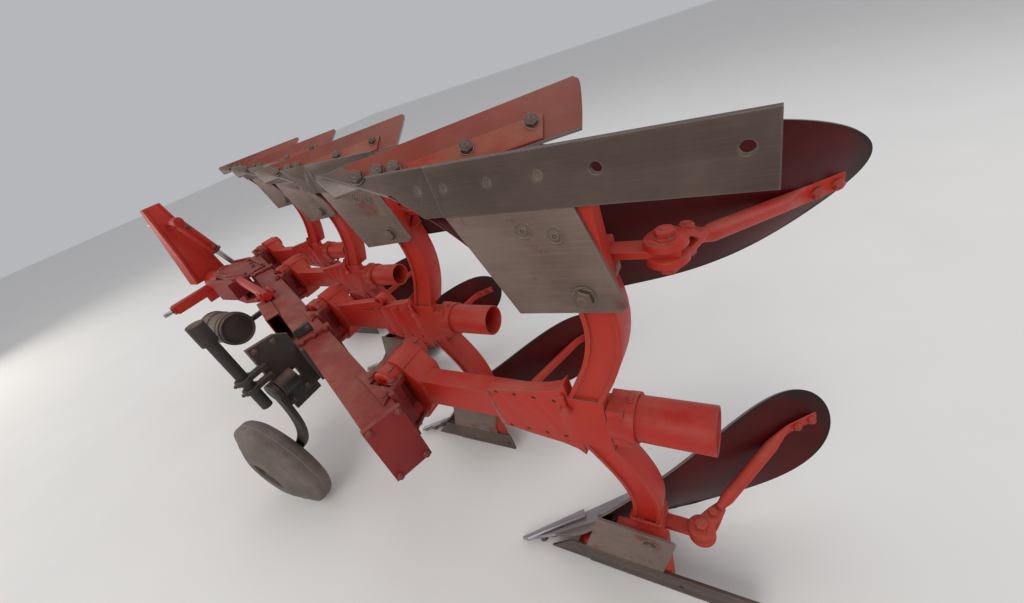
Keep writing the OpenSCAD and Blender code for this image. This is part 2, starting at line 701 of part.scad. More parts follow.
// The tower carries a pin for the turnover cylinder's eye
head_gap = tower_x - cyl_x + eye_d / 2 + 11;
module headstock_tower() {
    color(red) set_down() translate([tower_x + touch, axis_y, mid_h]) {
        translate([-head_gap, 0, cyl_top]) long_bar(eye_pin_d, 0, head_gap + 60);
        difference() {
            rotate([90, 0, 90]) linear_extrude(tower_d) polygon([[-148, tower_low], [148, tower_low], [75, tower_high], [-75, tower_high]]);
            rotate([90, 0, 0]) translate([0, 0, -200]) linear_extrude(400)
                polygon([[-1, 300], [tower_lean, tower_high + 1], [-1, tower_high + 1]]);
        }
        translate([tower_d, 0, hitch_z - mid_h + mast_h])
            side_plate(-mast_lug / 2, mast_lug, [[-1, -90], [50, -34], [84, -20], [84, 30], [-1, 50]]);
    }
}
module crossbar() {
    color(red) set_down() translate([hitch_x, axis_y, hitch_z]) {
        translate([-50 + touch, -hitch_span / 2, -bar_w / 2]) cube([bar_w, hitch_span, bar_w]);
        translate([-50 + touch, -150, -bar_w / 2 - 60]) cube([24, 300, 61]);
    }
}
module lower_link_pins() {
    color(bright) set_down() for (s = [-1, 1]) translate([hitch_x, axis_y + s * (hitch_span / 2 + touch), hitch_z]) rotate([-s * 90, 0, 0])
        cylinder(d = hitch_pin_d, h = 95, $fn = 48);
}
module top_link_pin() {
    color(bright) set_down() translate([tower_x + tower_d + 50, axis_y, hitch_z + mast_h]) cross_bar(top_pin_d, mast_lug / 2 + touch, 60);
}

headstock_tower();
crossbar();
lower_link_pins();
top_link_pin();
turnover_housing();
turnover_barrel();
turnover_rod();
turnover_shaft();
turnover_yoke();
align_strut();
main_beam();
beam_end_plate();
beam_flanges();
beam_sleeve();
arm_brackets();
pivot_bars();
arms();
doubler_plates();
link_bar();
tube_sleeves();
spring_tubes();
upper_legs();
lower_legs();
upper_frogs();
lower_frogs();
upper_frog_plates();
lower_frog_plates();
upper_shares();
lower_shares();
upper_points();
lower_points();
upper_moldboards();
lower_moldboards();
upper_landsides();
lower_landsides();
upper_rear_landsides();
lower_rear_landsides();
upper_stays();
lower_stays();
wheel_bracket();
wheel_stalk();
wheel_arm();
wheel_hub();
wheel_tyre();
canister();
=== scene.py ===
import bpy, bmesh, json
import numpy as np
from mathutils import Matrix, Vector


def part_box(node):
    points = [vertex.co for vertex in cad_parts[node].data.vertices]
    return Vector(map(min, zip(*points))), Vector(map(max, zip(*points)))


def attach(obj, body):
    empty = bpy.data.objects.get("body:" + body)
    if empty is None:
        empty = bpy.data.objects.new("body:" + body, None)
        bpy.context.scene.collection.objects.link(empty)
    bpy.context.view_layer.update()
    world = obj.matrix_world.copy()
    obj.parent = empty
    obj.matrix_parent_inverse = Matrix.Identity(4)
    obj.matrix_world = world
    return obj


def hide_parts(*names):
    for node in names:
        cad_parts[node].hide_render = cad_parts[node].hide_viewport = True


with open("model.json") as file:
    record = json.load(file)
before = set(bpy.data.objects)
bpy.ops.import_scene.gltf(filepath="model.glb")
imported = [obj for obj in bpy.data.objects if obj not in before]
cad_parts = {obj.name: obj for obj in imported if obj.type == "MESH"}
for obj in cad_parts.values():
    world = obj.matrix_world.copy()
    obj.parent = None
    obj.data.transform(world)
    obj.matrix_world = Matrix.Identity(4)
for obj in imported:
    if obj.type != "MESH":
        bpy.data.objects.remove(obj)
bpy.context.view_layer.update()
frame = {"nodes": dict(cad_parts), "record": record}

# Viewpoint and studio
# The camera stands close behind the rear body, tipped down and rolled as the picture was taken.
# The floor and the walls of light belong to the room and not to the plough.
VIEW_RIGHT = (-0.848, -0.434, -0.304)
VIEW_UP = (0.020, -0.600, 0.800)
VIEW_BACK = (-0.529, 0.672, 0.517)
VIEW_FROM = (-2.2597, 1.4374, 1.8841)
VIEW_LENS, SENSOR_W, NEAREST = 14.407, 36.0, 0.02
SKY_TINT, SKY_STRENGTH = (0.93, 0.95, 1.0, 1), 0.5


def set_camera():
    """The camera's axes are the three unit vectors above, and its lens is for a 36 mm wide sensor."""
    camera = bpy.data.cameras.new("viewpoint")
    camera.lens, camera.sensor_width, camera.clip_start = VIEW_LENS, SENSOR_W, NEAREST
    eye = bpy.data.objects.new("viewpoint", camera)
    turn = Matrix((VIEW_RIGHT, VIEW_UP, VIEW_BACK)).transposed().to_4x4()
    eye.matrix_world = Matrix.Translation(VIEW_FROM) @ turn
    bpy.context.scene.collection.objects.link(eye)
    bpy.context.scene.camera = eye


def soft_light(name, place, aim, size, watts, tint=(1, 1, 1)):
    """A square lamp of the given size that stands at place and shines toward aim."""
    lamp = bpy.data.lights.new(name, "AREA")
    lamp.energy, lamp.size, lamp.color = watts, size, tint
    ob = bpy.data.objects.new(name, lamp)
    ob.location = place
    ob.rotation_euler = (Vector(aim) - Vector(place)).to_track_quat("-Z", "Y").to_euler()
    bpy.context.scene.collection.objects.link(ob)


set_camera()
soft_light("window", (-2.5, 7.0, 5.5), (0, 0, 0.6), 5.0, 250, (1, 0.97, 0.92))
soft_light("ceiling", (1.0, -3.0, 7.5), (0, 0, 0.6), 7.0, 150)
soft_light("doorway", (8.5, 3.5, 3.0), (0, 0, 0.8), 4.5, 175, (1, 0.95, 0.88))
soft_light("behind", (-8.0, -3.0, 3.5), (-1.0, 0, 0.6), 4.0, 95)


class Wire:
    """A socket of a finish, on which +, - and * add the Math nodes."""

    def __init__(self, finish, out):
        self.finish, self.out = finish, out

    def math(self, operation, first, second):
        """One Math node on two values or sockets."""
        return self.finish.make("Math", {0: first, 1: second}, {"operation": operation})

    def __add__(self, other):
        return self.math("ADD", self, other)

    def __radd__(self, other):
        return self.math("ADD", self, other)

    def __sub__(self, other):
        return self.math("SUBTRACT", self, other)

    def __rsub__(self, other):
        return self.math("SUBTRACT", other, self)

    def __mul__(self, other):
        return self.math("MULTIPLY", self, other)

    def __rmul__(self, other):
        return self.math("MULTIPLY", self, other)

    def step(self, low, high):
        """0 below low, 1 above high and a straight ramp between them."""
        return self.finish.make("MapRange", {0: self, 1: low, 2: high})


def srgb(red, green, blue):
    """A colour as seen on screen, 0 to 255, turned into the linear values that Blender mixes."""
    c = np.array([red, green, blue]) / 255
    return tuple(np.where(c < 0.04045, c / 12.92, ((c + 0.055) / 1.055) ** 2.4)) + (1.0,)


class Finish:
    """A material under construction: its node tree and its Principled shader."""

    def __init__(self, name, **fixed):
        self.mat = bpy.data.materials.new(name)
        self.mat.use_nodes = True
        self.tree = self.mat.node_tree
        self.skin = self.tree.nodes["Principled BSDF"]
        for socket, value in fixed.items():
            self.feed(socket.replace("_", " "), value)

    def plug(self, value, socket):
        """Links a Wire to the socket, or sets the socket to a plain value."""
        if isinstance(value, Wire):
            self.tree.links.new(value.out, socket)
        else:
            socket.default_value = value

    def make(self, kind, sockets, settings=None, out=0):
        """Adds one node of this kind, with its settings, then the values or links of its sockets."""
        n = self.tree.nodes.new("ShaderNode" + kind)
        for key, value in (settings or {}).items():
            setattr(n, key, value)
        for key, value in sockets.items():
            self.plug(value, n.inputs[key])
        return Wire(self, n.outputs[out])

    def feed(self, socket, value):
        """Gives a socket of the Principled shader its value or link."""
        self.plug(value, self.skin.inputs[socket])

    def space(self, stretch=(1, 1, 1), uv=False):
        """Object coordinates, or the piece's own UV map, scaled along the axes."""
        where = self.make("TexCoord", {}, out="UV" if uv else "Object")
        return self.make("Mapping", {"Vector": where, "Scale": stretch})

    def noise(self, scale, detail=4.0, rough=0.55, stretch=(1, 1, 1), uv=False):
        """Cloudy noise about 0.5, with scale swells to the metre and finer ones from detail and rough."""
        sockets = {"Vector": self.space(stretch, uv), "Scale": scale, "Detail": detail, "Roughness": rough}
        return self.make("TexNoise", sockets)

    def mix(self, amount, first, second):
        """first where amount is 0 and second where it is 1, as colours."""
        return self.make("Mix", {0: amount, 6: first, 7: second}, {"data_type": "RGBA"}, 2)

    def upward(self):
        """How far the surface faces up: 1 on top, 0 on a wall, -1 below."""
        normal = self.make("NewGeometry", {}, out="Normal")
        return self.make("SeparateXYZ", {"Vector": normal}, out=2)

    def edges(self, radius):
        """Near 0 on flat places and more along edges: 1 less the dot product of the true normal and the
        normal that is rounded over radius."""
        true = self.make("NewGeometry", {}, out="True Normal")
        rounded = self.make("Bevel", {"Radius": radius}, {"samples": 4})
        return 1.0 - self.make("VectorMath", {0: true, 1: rounded}, {"operation": "DOT_PRODUCT"}, "Value")

    def relief(self, height, depth, strength=1.0, radius=None):
        """Sends a height through a Bump node, over edges that look rounded to radius."""
        sockets = {"Height": height, "Distance": depth, "Strength": strength}
        if radius:
            sockets["Normal"] = self.make("Bevel", {"Radius": radius}, {"samples": 4})
        self.feed("Normal", self.make("Bump", sockets))


def studio_grey():
    """The floor's pale cement: even, with a faint mottle."""
    f = Finish("floor", Roughness=0.85)
    f.feed("Base Color", f.mix(f.noise(1.5, 6), srgb(226, 224, 221), srgb(234, 232, 229)))
    return f.mat


def lay_floor(half=30.0):
    """One large square at the height where the plough stands."""
    floor = bpy.data.meshes.new("floor")
    corners = [(-half, -half, 0), (half, -half, 0), (half, half, 0), (-half, half, 0)]
    floor.from_pydata(corners, [], [(0, 1, 2, 3)])
    floor.materials.append(studio_grey())
    ob = bpy.data.objects.new("floor", floor)
    bpy.context.scene.collection.objects.link(ob)


lay_floor()
sky = bpy.data.worlds.new("room")
sky.use_nodes = True
glow = sky.node_tree.nodes["Background"]
glow.inputs["Color"].default_value, glow.inputs["Strength"].default_value = SKY_TINT, SKY_STRENGTH
bpy.context.scene.world = sky
bpy.context.scene.view_settings.view_transform = "Standard"

# Painted frame
# Arms, legs, brackets and tower are welded and cast steel in orange-red enamel, faded and dusty after
# seasons outdoors, with light edges, partly scraped and partly painted highlight. The beam and what is
# bolted to it carry the same red, made darker as painted shade, and duller.
EDGE_ROUND = 0.003
RUST, SCRAPED_AND_HIGHLIT_EDGE, SOIL = srgb(72, 44, 34), srgb(166, 134, 116), srgb(160, 122, 100)
RUST_FILM, FIRST_PAINT, GROUND_EDGE = srgb(92, 60, 46), srgb(104, 34, 27), srgb(158, 150, 143)


def enamel(name, fresh, faded, rust, dusty=0.5, gloss=0.42):
    """Old brushed-on paint: patchy fading, dust facing up, chips, light edges of bare metal and painted
    highlight.
    """
    f = Finish(name, Specular_IOR_Level=0.3)
    patches = f.noise(2.2, 6, 0.6).step(0.38, 0.66)
    streaks = f.noise(9, 5, 0.65, (1, 1, 0.25)).step(0.5, 0.72) * 0.35
    speck = f.noise(55, 4, 0.7)
    chips = (f.edges(0.005) * 2.6 + f.noise(14, 6, 0.7) - 0.62).step(0.12, 0.2) * speck.step(0.42, 0.5)
    rubbed_and_highlit = (f.edges(0.003) * 3.0 + f.noise(7, 5, 0.6) - 0.7).step(0.1, 0.5)
    dust = f.upward().step(0.25, 0.95) * f.noise(6, 6, 0.65).step(0.36, 0.7) * dusty
    colour = f.mix(patches, fresh, faded)
    colour = f.mix(streaks, colour, f.mix(0.5, fresh, rust))
    colour = f.mix(chips, colour, rust)
    # The light tan along edges is partly scraped paint and partly painted highlight.
    colour = f.mix(rubbed_and_highlit * 0.8, colour, SCRAPED_AND_HIGHLIT_EDGE)
    colour = f.mix(dust, colour, SOIL)
    f.feed("Base Color", colour)
    f.feed("Roughness", gloss + dust * 0.4 + patches * 0.12 + chips * 0.2)
    f.relief(f.noise(120, 4) * 0.4 + f.noise(18, 4) * 0.6 - chips * 0.8, 0.0008, 0.6, 0.003)
    return f.mat


def scaled(colour, factor):
    """The colour made lighter or darker by multiplying its three values."""
    return tuple(c * factor for c in colour[:3]) + (1,)


def wearing_steel(name, dark, pale, shine=0.45, uv=False, along=(0.25, 14, 14), old_paint=0.0):
    """Soil-polished steel gone brown: long scratches along the furrow, blotches of rust film, bright edges,
    and scraps of the first paint where old_paint is above 0."""
    f = Finish(name)
    scratch = f.noise(30, 4, 0.75, along, uv)
    film = f.noise(3.5, 7, 0.62)
    edge = f.edges(0.004)
    colour = f.mix(film.step(0.3, 0.7), dark, pale)
    colour = f.mix(scratch.step(0.45, 0.8) * 0.45, colour, scaled(pale, 1.35))
    colour = f.mix(film.step(0.55, 0.8) * 0.4, colour, RUST_FILM)
    if old_paint:
        scraps = (f.noise(9, 6, 0.6) + edge * 2.0).step(0.6, 0.68) * old_paint
        colour = f.mix(scraps, colour, FIRST_PAINT)
    colour = f.mix((edge * 3.0).step(0.2, 0.9), colour, GROUND_EDGE)
    f.feed("Base Color", colour)
    f.feed("Metallic", shine - film.step(0.45, 0.75) * 0.35)
    f.feed("Roughness", 0.46 + film * 0.16 - scratch.step(0.45, 0.7) * 0.1)
    f.relief(scratch * 0.6 + f.noise(60, 5) * 0.4, 0.0005, 0.35, 0.002)
    return f.mat


def plain_finish(name, colour, metallic, rough):
    """One colour with darker blotches of handling, and a roughness that varies a little."""
    f = Finish(name, Metallic=metallic)
    f.feed("Base Color", f.mix(f.noise(30, 5).step(0.4, 0.7), colour, scaled(colour, 0.7)))
    f.feed("Roughness", rough + f.noise(18, 5) * 0.2)
    return f.mat


red_paint = enamel("red_paint", srgb(168, 30, 18), srgb(172, 44, 28), RUST, 0.3)
# The beam's paint is the frame's red made darker and duller: the darkness is painted shade.
shade_paint = enamel("beam_paint_painted_shade", srgb(122, 28, 26), srgb(138, 42, 38), RUST, 0.45, 0.5)
steel = wearing_steel("furrow_steel", srgb(70, 56, 49), srgb(94, 78, 69))
iron = enamel("dark_iron", srgb(44, 40, 40), srgb(62, 56, 54), srgb(88, 60, 46), 0.6, 0.5)
bright = plain_finish("machined_steel", srgb(176, 174, 172), 0.95, 0.2)
rubber = plain_finish("old_rubber", srgb(66, 61, 57), 0.0, 0.7)

# The spring tubes' collars share the beam's slot but wear the frame's red, without the beam's painted shade.
FINISH = {"paint": red_paint, "shade_paint": shade_paint, "steel": steel, "bright": bright,
          "dark_iron": iron, "tyre": rubber}
FINISH_OF = {"tube_sleeves": red_paint}
for part in frame["record"]["subparts"]:
    ob = frame["nodes"][part["node"]]
    ob.data.materials.clear()
    ob.data.materials.append(FINISH_OF.get(part["node"], FINISH[part["material_slot"]]))


def soften(ob, width):
    """Welds the node's loose triangles and rounds its sharp edges to width."""
    ob.data.polygons.foreach_set("use_smooth", np.ones(len(ob.data.polygons), bool))
    weld = ob.modifiers.new("weld", "WELD")
    weld.merge_threshold = 0.00002
    flat = ob.modifiers.new("flat", "DECIMATE")
    flat.decimate_type, flat.angle_limit = "DISSOLVE", np.radians(0.5)
    round_off = ob.modifiers.new("round", "BEVEL")
    round_off.width, round_off.segments = width, 2
    round_off.limit_method, round_off.angle_limit = "ANGLE", np.radians(32)
    round_off.harden_normals, round_off.use_clamp_overlap = True, True


for ob in frame["nodes"].values():
    soften(ob, EDGE_ROUND)

# Moldboards
# Curved plates of hardened steel, bolted to the frogs and scoured brown-grey by the soil on the working side.
# Their backs keep the maker's red, darkened all over as painted shade and worn dark toward the rim.
# Heights u run up from the ground on a lower body and down from the top on an upper one.
BODIES, PITCH, FURROW = 4, 950.0, 400.0
SIDES = ((False, "lower_"), (True, "upper_"))
SHAFT_LOW, SHAFT_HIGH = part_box("turnover_shaft")
MIDDLE = (SHAFT_LOW.z + SHAFT_HIGH.z) * 500
REAR_X, REAR_Y = 2156.9, -675.0
NOSE_X, NOSE_U, SIDE_Y, SHIN_Y, SHIN_U = 764.0, 62.0, 116.0, 88.0, 290.0
EDGE_U, EDGE_OUT, SHARE_TOP, SHARE_ANGLE = 9.0, 36.0, 95.0, 42.0
CURVE, LOW_SLOPE, BOARD_ANGLE = 651.0, 38.0, 38.0
WING_TURN, TURN_U, TURN_H, TURN_POWER = 4.9, 135.0, 385.0, 0.46
BOW_LOW, BOW_RISE, BOW_H = -195.0, 192.3, 400.0
BOARD_T, TAIL_S, CLOSE_L, CROWD = 10.0, 1244.0, 616.0, 0.992
RIM_S, HIGH_RIM, HIGH_RISE, LOW_RIM, LOW_RISE, RIM_GAP = 600.0, 480.0, 0.241, 113.0, 0.122, 0.1


def placed(points, k, upper):
    """Body coordinates in mm to the frame's metres: k bodies forward, and for an upper body mirrored in the
    middle plane."""
    p = np.array(points, float)
    if upper:
        p[..., 2] = 2 * MIDDLE - p[..., 2]
    return (p + (k * PITCH - REAR_X, -k * FURROW - REAR_Y, 0)) / 1000


def sin(a):
    """The sine of an angle in degrees."""
    return np.sin(np.radians(a))


def cos(a):
    """The cosine of an angle in degrees."""
    return np.cos(np.radians(a))


def arc_back(u):
    """How far the board lies behind its nose at height u, on an arc of radius CURVE whose slope at the nose
    is LOW_SLOPE."""
    slope = np.degrees(np.arccos(cos(LOW_SLOPE) - (u - NOSE_U) / CURVE))
    return CURVE * (sin(slope) - sin(LOW_SLOPE))


def level_frame(u):
    """Start point and direction angle of the level line at height u, and how far up the share u lies, from
    0 to 1. The start moves back straight below the share's top and along the arc above it. The angle goes
    straight from SHARE_ANGLE to BOARD_ANGLE, and above TURN_U it opens with a power of the height."""
    part = (u - EDGE_U) / (SHARE_TOP - EDGE_U)
    straight = (EDGE_OUT + arc_back(SHARE_TOP)) * part - EDGE_OUT
    back = np.where(u < SHARE_TOP, straight, arc_back(np.maximum(u, SHARE_TOP)))
    opening = WING_TURN * (np.maximum(u - TURN_U, 0) / TURN_H) ** TURN_POWER
    on_share = SHARE_ANGLE + (BOARD_ANGLE - SHARE_ANGLE) * part
    angle = np.where(u < SHARE_TOP, on_share, BOARD_ANGLE + opening)
    return NOSE_X - back * sin(BOARD_ANGLE), SIDE_Y + back * cos(BOARD_ANGLE), angle, np.clip(part, 0, 1)


def on_level(u, s):
    """Point of the working surface at height u and distance s along the level line, which bows sideways with
    the square of s in metres: by BOW_LOW mm at the ground, and BOW_RISE mm more at the height BOW_H."""
    x, y, angle, part = level_frame(u)
    bow = part * (BOW_LOW + BOW_RISE * u / BOW_H) * (s / 1000) ** 2
    forward = x - s * cos(angle) + bow * sin(angle)
    left = y - s * sin(angle) - bow * cos(angle)
    return np.stack([forward, left, u + 0 * s], -1)


def reach(u, y):
    """Distance along the level line at which it crosses the plane y."""
    _, y0, angle, _ = level_frame(u)
    return (y0 - y) / sin(angle)


def grid_faces(n, m):
    """Quads of an n by m grid of vertices."""
    i = np.arange(n * m).reshape(n, m)
    return np.stack([i[:-1, :-1], i[1:, :-1], i[1:, 1:], i[:-1, 1:]], -1).reshape(-1, 4)


def plate(front, thick):
    """A closed plate: the grid front, its copy thick behind along the normals, and a rim round both. Its
    points and faces come with a finish number for each face, which is 1 on the back and 0 elsewhere."""
    along, across = np.gradient(front, axis=0), np.gradient(front, axis=1)
    normal = np.cross(along, across)
    rear = front + thick * normal / np.linalg.norm(normal, axis=-1, keepdims=True)
    n, m = front.shape[:2]
    i = np.arange(n * m).reshape(n, m)
    rim = np.concatenate([i[:, 0], i[-1, 1:], i[-2::-1, -1], i[0, -2:0:-1]])
    after = np.roll(rim, -1)
    faces = np.concatenate([grid_faces(n, m)[:, ::-1], grid_faces(n, m) + n * m,
                            np.stack([rim, after, after + n * m, rim + n * m], -1)])
    sides = np.repeat([0, 1, 0], [(n - 1) * (m - 1), (n - 1) * (m - 1), len(rim)])
    return np.concatenate([front.reshape(-1, 3), rear.reshape(-1, 3)]), faces, sides


class Batch:
    """Meshes of like pieces, gathered and then joined in one object."""

    def __init__(self):
        self.points, self.faces, self.finish, self.maps, self.count = [], [], [], [], 0

    def add(self, points, faces, k=0, upper=False, finish=0, flat_map=None):
        """Puts one mesh at body k, its faces turned round where it is mirrored. Faces are rows of vertex
        numbers, or lists of them where their numbers of corners differ."""
        way = -1 if upper else 1
        if isinstance(faces, np.ndarray):
            rows = (faces[:, ::way] + self.count).tolist()
        else:
            rows = [[v + self.count for v in face[::way]] for face in faces]
        self.points.append(placed(points, k, upper))
        self.faces += rows
        self.finish.append(np.broadcast_to(finish, len(rows)))
        self.maps.append(np.zeros((len(points), 2)) if flat_map is None else flat_map)
        self.count += len(points)

    def build(self, name, finishes, body, slot, replaced=(), smooth=35, round_to=None):
        """Makes the mesh, with its UV map and its finishes, and hands it to the body that carries it."""
        mesh = bpy.data.meshes.new(name)
        mesh.from_pydata(np.concatenate(self.points).tolist(), [], self.faces)
        for mat in finishes:
            mesh.materials.append(mat)
        mesh.polygons.foreach_set("material_index", np.concatenate(self.finish).astype(np.int32))
        corner = np.zeros(len(mesh.loops), np.int32)
        mesh.loops.foreach_get("vertex_index", corner)
        flat = np.concatenate(self.maps)[corner].astype(np.float32)
        mesh.uv_layers.new(name="surface").data.foreach_set("uv", flat.ravel())
        shell = bmesh.new()
        shell.from_mesh(mesh)
        bmesh.ops.remove_doubles(shell, verts=shell.verts, dist=0.00003)
        bmesh.ops.recalc_face_normals(shell, faces=shell.faces)
        shell.to_mesh(mesh)
        shell.free()
        mesh.shade_smooth()
        mesh.set_sharp_from_angle(angle=np.radians(smooth))
        ob = bpy.data.objects.new(name, mesh)
        bpy.context.scene.collection.objects.link(ob)
        if round_to:
            edge = ob.modifiers.new("round", "BEVEL")
            edge.width, edge.segments, edge.limit_method = round_to, 2, "ANGLE"
            edge.angle_limit = np.radians(50)
        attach(ob, body)
        if replaced:
            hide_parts(*replaced)


def closing(s, start, end):
    """1 up to start, then a quarter ellipse down to 0 at end."""
    return np.sqrt(1 - np.clip((s - start) / (end - start), 0, 1) ** 2)


def moldboard(n=96, m=34):
    """The board's grid, and the map of how far along and how far up each point lies, 0 to 1. Level lines run
    from the shin to the tail. The rims are straight lines, which an ellipse closes over the last CLOSE_L."""
    along = 1 - (1 - CROWD * np.linspace(0, 1, n)[:, None]) ** 2
    up = np.linspace(0, 1, m)[None]
    shin = reach(SHIN_U, SHIN_Y)
    s = shin + along * (TAIL_S - shin)
    high, low = HIGH_RIM + HIGH_RISE * (s - RIM_S), LOW_RIM + LOW_RISE * (s - RIM_S)
    middle, shut = (high + low) / 2, closing(s, TAIL_S - CLOSE_L, TAIL_S)
    top = middle + (high - middle) * shut
    bottom = np.maximum(SHARE_TOP + RIM_GAP, middle + (low - middle) * shut)
    u = bottom + (top - bottom) * up
    start = reach(u, SHIN_Y)
    return on_level(u, start + along * (TAIL_S - start)), np.stack(np.broadcast_arrays(along, up), -1)


def board_back_paint():
    """Red enamel on the hollow's back, darkened with painted shade, worn through to dark steel at tail and
    rims.
    """
    f = Finish("board_back_painted_shade", Specular_IOR_Level=0.18)
    along = f.make("SeparateXYZ", {"Vector": f.space(uv=True)}, out=0)
    up = f.make("SeparateXYZ", {"Vector": f.space(uv=True)}, out=1)
    rub = f.noise(5, 6, 0.65)
    near_rim = along.step(0.80, 1.0) + up.step(0.86, 1.0) * 0.9 + (1.0 - up.step(0.0, 0.1)) * 0.6
    worn = (near_rim + rub - 0.95).step(0.1, 0.55)
    dust = f.upward().step(0.3, 1.0) * f.noise(7, 6, 0.6).step(0.4, 0.7) * 0.25
    # Both reds are far darker than the frame's red: painted shade.
    colour = f.mix(rub.step(0.35, 0.7), srgb(76, 8, 6), srgb(54, 8, 8))
    colour = f.mix(worn, colour, srgb(40, 28, 27))
    f.feed("Base Color", f.mix(dust, colour, srgb(92, 62, 52)))
    f.feed("Roughness", 0.46 + worn * 0.15 + dust * 0.3)
    f.relief(f.noise(90, 4) * 0.5 + rub * 0.4 - worn * 0.4, 0.0008, 0.5)
    return f.mat


board_steel = wearing_steel("board_steel", srgb(88, 74, 67), srgb(118, 103, 95), 0.5, True, (0.5, 14, 1))
back_paint_with_shade = board_back_paint()
board_front, board_map = moldboard()
board_points, board_faces, board_sides = plate(board_front, BOARD_T)
both_sides = np.tile(board_map.reshape(-1, 2), (2, 1))
for upper, side in SIDES:
    boards = Batch()
    for k in range(BODIES):
        boards.add(board_points, board_faces, k, upper, board_sides, both_sides)
    boards.build(side + "moldboard_plates", (board_steel, back_paint_with_shade), "frame", "steel",
                 (side + "moldboards",), 40, 0.0012)

# Shares and points
# A share is a flat bar of hard steel with a ground edge, bolted under the board and scoured bright in front.
# Its back is red-brown, darker at the inner end, and carries a painted strip and the hexagon nuts of its
# plough bolts. The bolts' flush heads show on the working sides of share and board.
SHARE_L, WING_CUT, TIP_S, SHARE_T, CORNER_R, CORNER_PART = 639.0, 70.0, -46.0, 10.0, 16.0, 5
CARRIER_FROM, CARRIER_TO, CARRIER_SLANT = 165.0, 505.0, 26.0
CARRIER_U, CARRIER_W, CARRIER_T = 54.0, 40.0, 8.0
NOSE_COLUMNS = 5
SHARE_BOLTS = [(40.0, 44.0), (90.0, 47.0), (130.0, 52.0), (308.0, 68.0), (470.0, 64.0)]
SHIN_BOLT_Y, SHIN_BOLTS = 62.0, (150.0, 240.0, 330.0)
TAIL_U, TAIL_BACK, TAIL_BOLTS = 412.0, 118.0, (-30, 30)


def share_grid(n=60, m=12):
    """From the cutting edge up to the board. The rear end leans forward by WING_CUT as it rises, and its
    lower corner is rounded over the first part of the height."""
    j = np.linspace(0, 1, m)[None]
    first = TIP_S + (reach(SHARE_TOP, SHIN_Y) - TIP_S) * j
    corner = CORNER_R * (1 - np.sqrt(1 - np.clip(1 - j * CORNER_PART, 0, 1) ** 2))
    last = SHARE_L - WING_CUT * j - corner
    s = first + (last - first) * np.linspace(0, 1, n)[:, None]
    return on_level(EDGE_U + (SHARE_TOP - EDGE_U) * j, s)


def carrier_strip(n=30, m=5):
    """The strip's grid on the share's back, from CARRIER_FROM to a slanting outer end."""
    j = np.linspace(0, 1, m)[None]
    s = CARRIER_FROM + (CARRIER_TO - CARRIER_SLANT * j - CARRIER_FROM) * np.linspace(0, 1, n)[:, None]
    return on_level(CARRIER_U + CARRIER_W * j + 0 * s, s) + share_normal * SHARE_T


def nut_profile(flats, tall, washer):
    """Steps from the washer's foot over the nut to the bolt's end that stands out of it."""
    r = flats / 2
    return [(0.01, 0), (washer, 0), (washer, 3), (r, 3, 1), (r, tall - 2, 1), (r * 0.92, tall),
            (r * 0.5, tall), (r * 0.45, tall + 3), (0.01, tall + 3)]


def round_faces(i):
    """Quads between rows of vertex numbers, of which each runs round and joins its own start."""
    j = np.roll(i, -1, 1)
    return np.stack([i[:-1], j[:-1], j[1:], i[1:]], -1).reshape(-1, 4)


def turned(profile, at, axis, sides=24, loop=False):
    """Steps of (radius, height) turned about an axis that starts at a point. A step with a third value of 1
    is a hexagon, with its flats at the radius. With loop, the last step joins the first."""
    axis = np.array(axis, float) / np.linalg.norm(axis)
    side = np.cross(axis, (0.3, 0.2, 0.9))
    side /= np.linalg.norm(side)
    third = np.cross(axis, side)
    theta = np.arange(sides) * 360 / sides
    steps = [step if len(step) == 3 else (*step, 0) for step in profile]
    r, h, six = np.array(steps, float).T[:, :, None]
    r = np.where(six > 0, r / cos(theta % 60 - 30), r)
    ring = cos(theta)[None, :, None] * side + sin(theta)[None, :, None] * third
    points = np.array(at, float) + r[..., None] * ring + h[..., None] * axis
    i = np.arange(len(profile) * sides).reshape(-1, sides)
    if loop:
        i = np.concatenate([i, i[:1]])
    return points.reshape(-1, 3), round_faces(i)


def back_normal(u, s):
    """Unit vector square to the working surface at height u and distance s, toward its back."""
    here = on_level(u, s)
    normal = np.cross(on_level(u, s + 1) - here, on_level(u + 1, s) - here)
    return normal / np.linalg.norm(normal)


share_steel = wearing_steel("share_steel", srgb(140, 134, 138), srgb(172, 168, 172), 0.8, False, (0.7, 9, 9))
point_steel = wearing_steel("point_steel", srgb(112, 98, 90), srgb(150, 138, 131), 0.6)
share_back = enamel("share_back", srgb(128, 48, 34), srgb(104, 52, 41), srgb(84, 60, 50), 0.3, 0.5)
nut_steel = wearing_steel("nut_steel", srgb(74, 56, 47), srgb(108, 88, 77), 0.5)
nose_steel = wearing_steel("nose_steel", srgb(84, 66, 57), srgb(116, 97, 87), 0.4)
carrier_paint = enamel("carrier_paint", srgb(150, 46, 26), srgb(104, 66, 48), srgb(80, 66, 50), 0.6, 0.5)

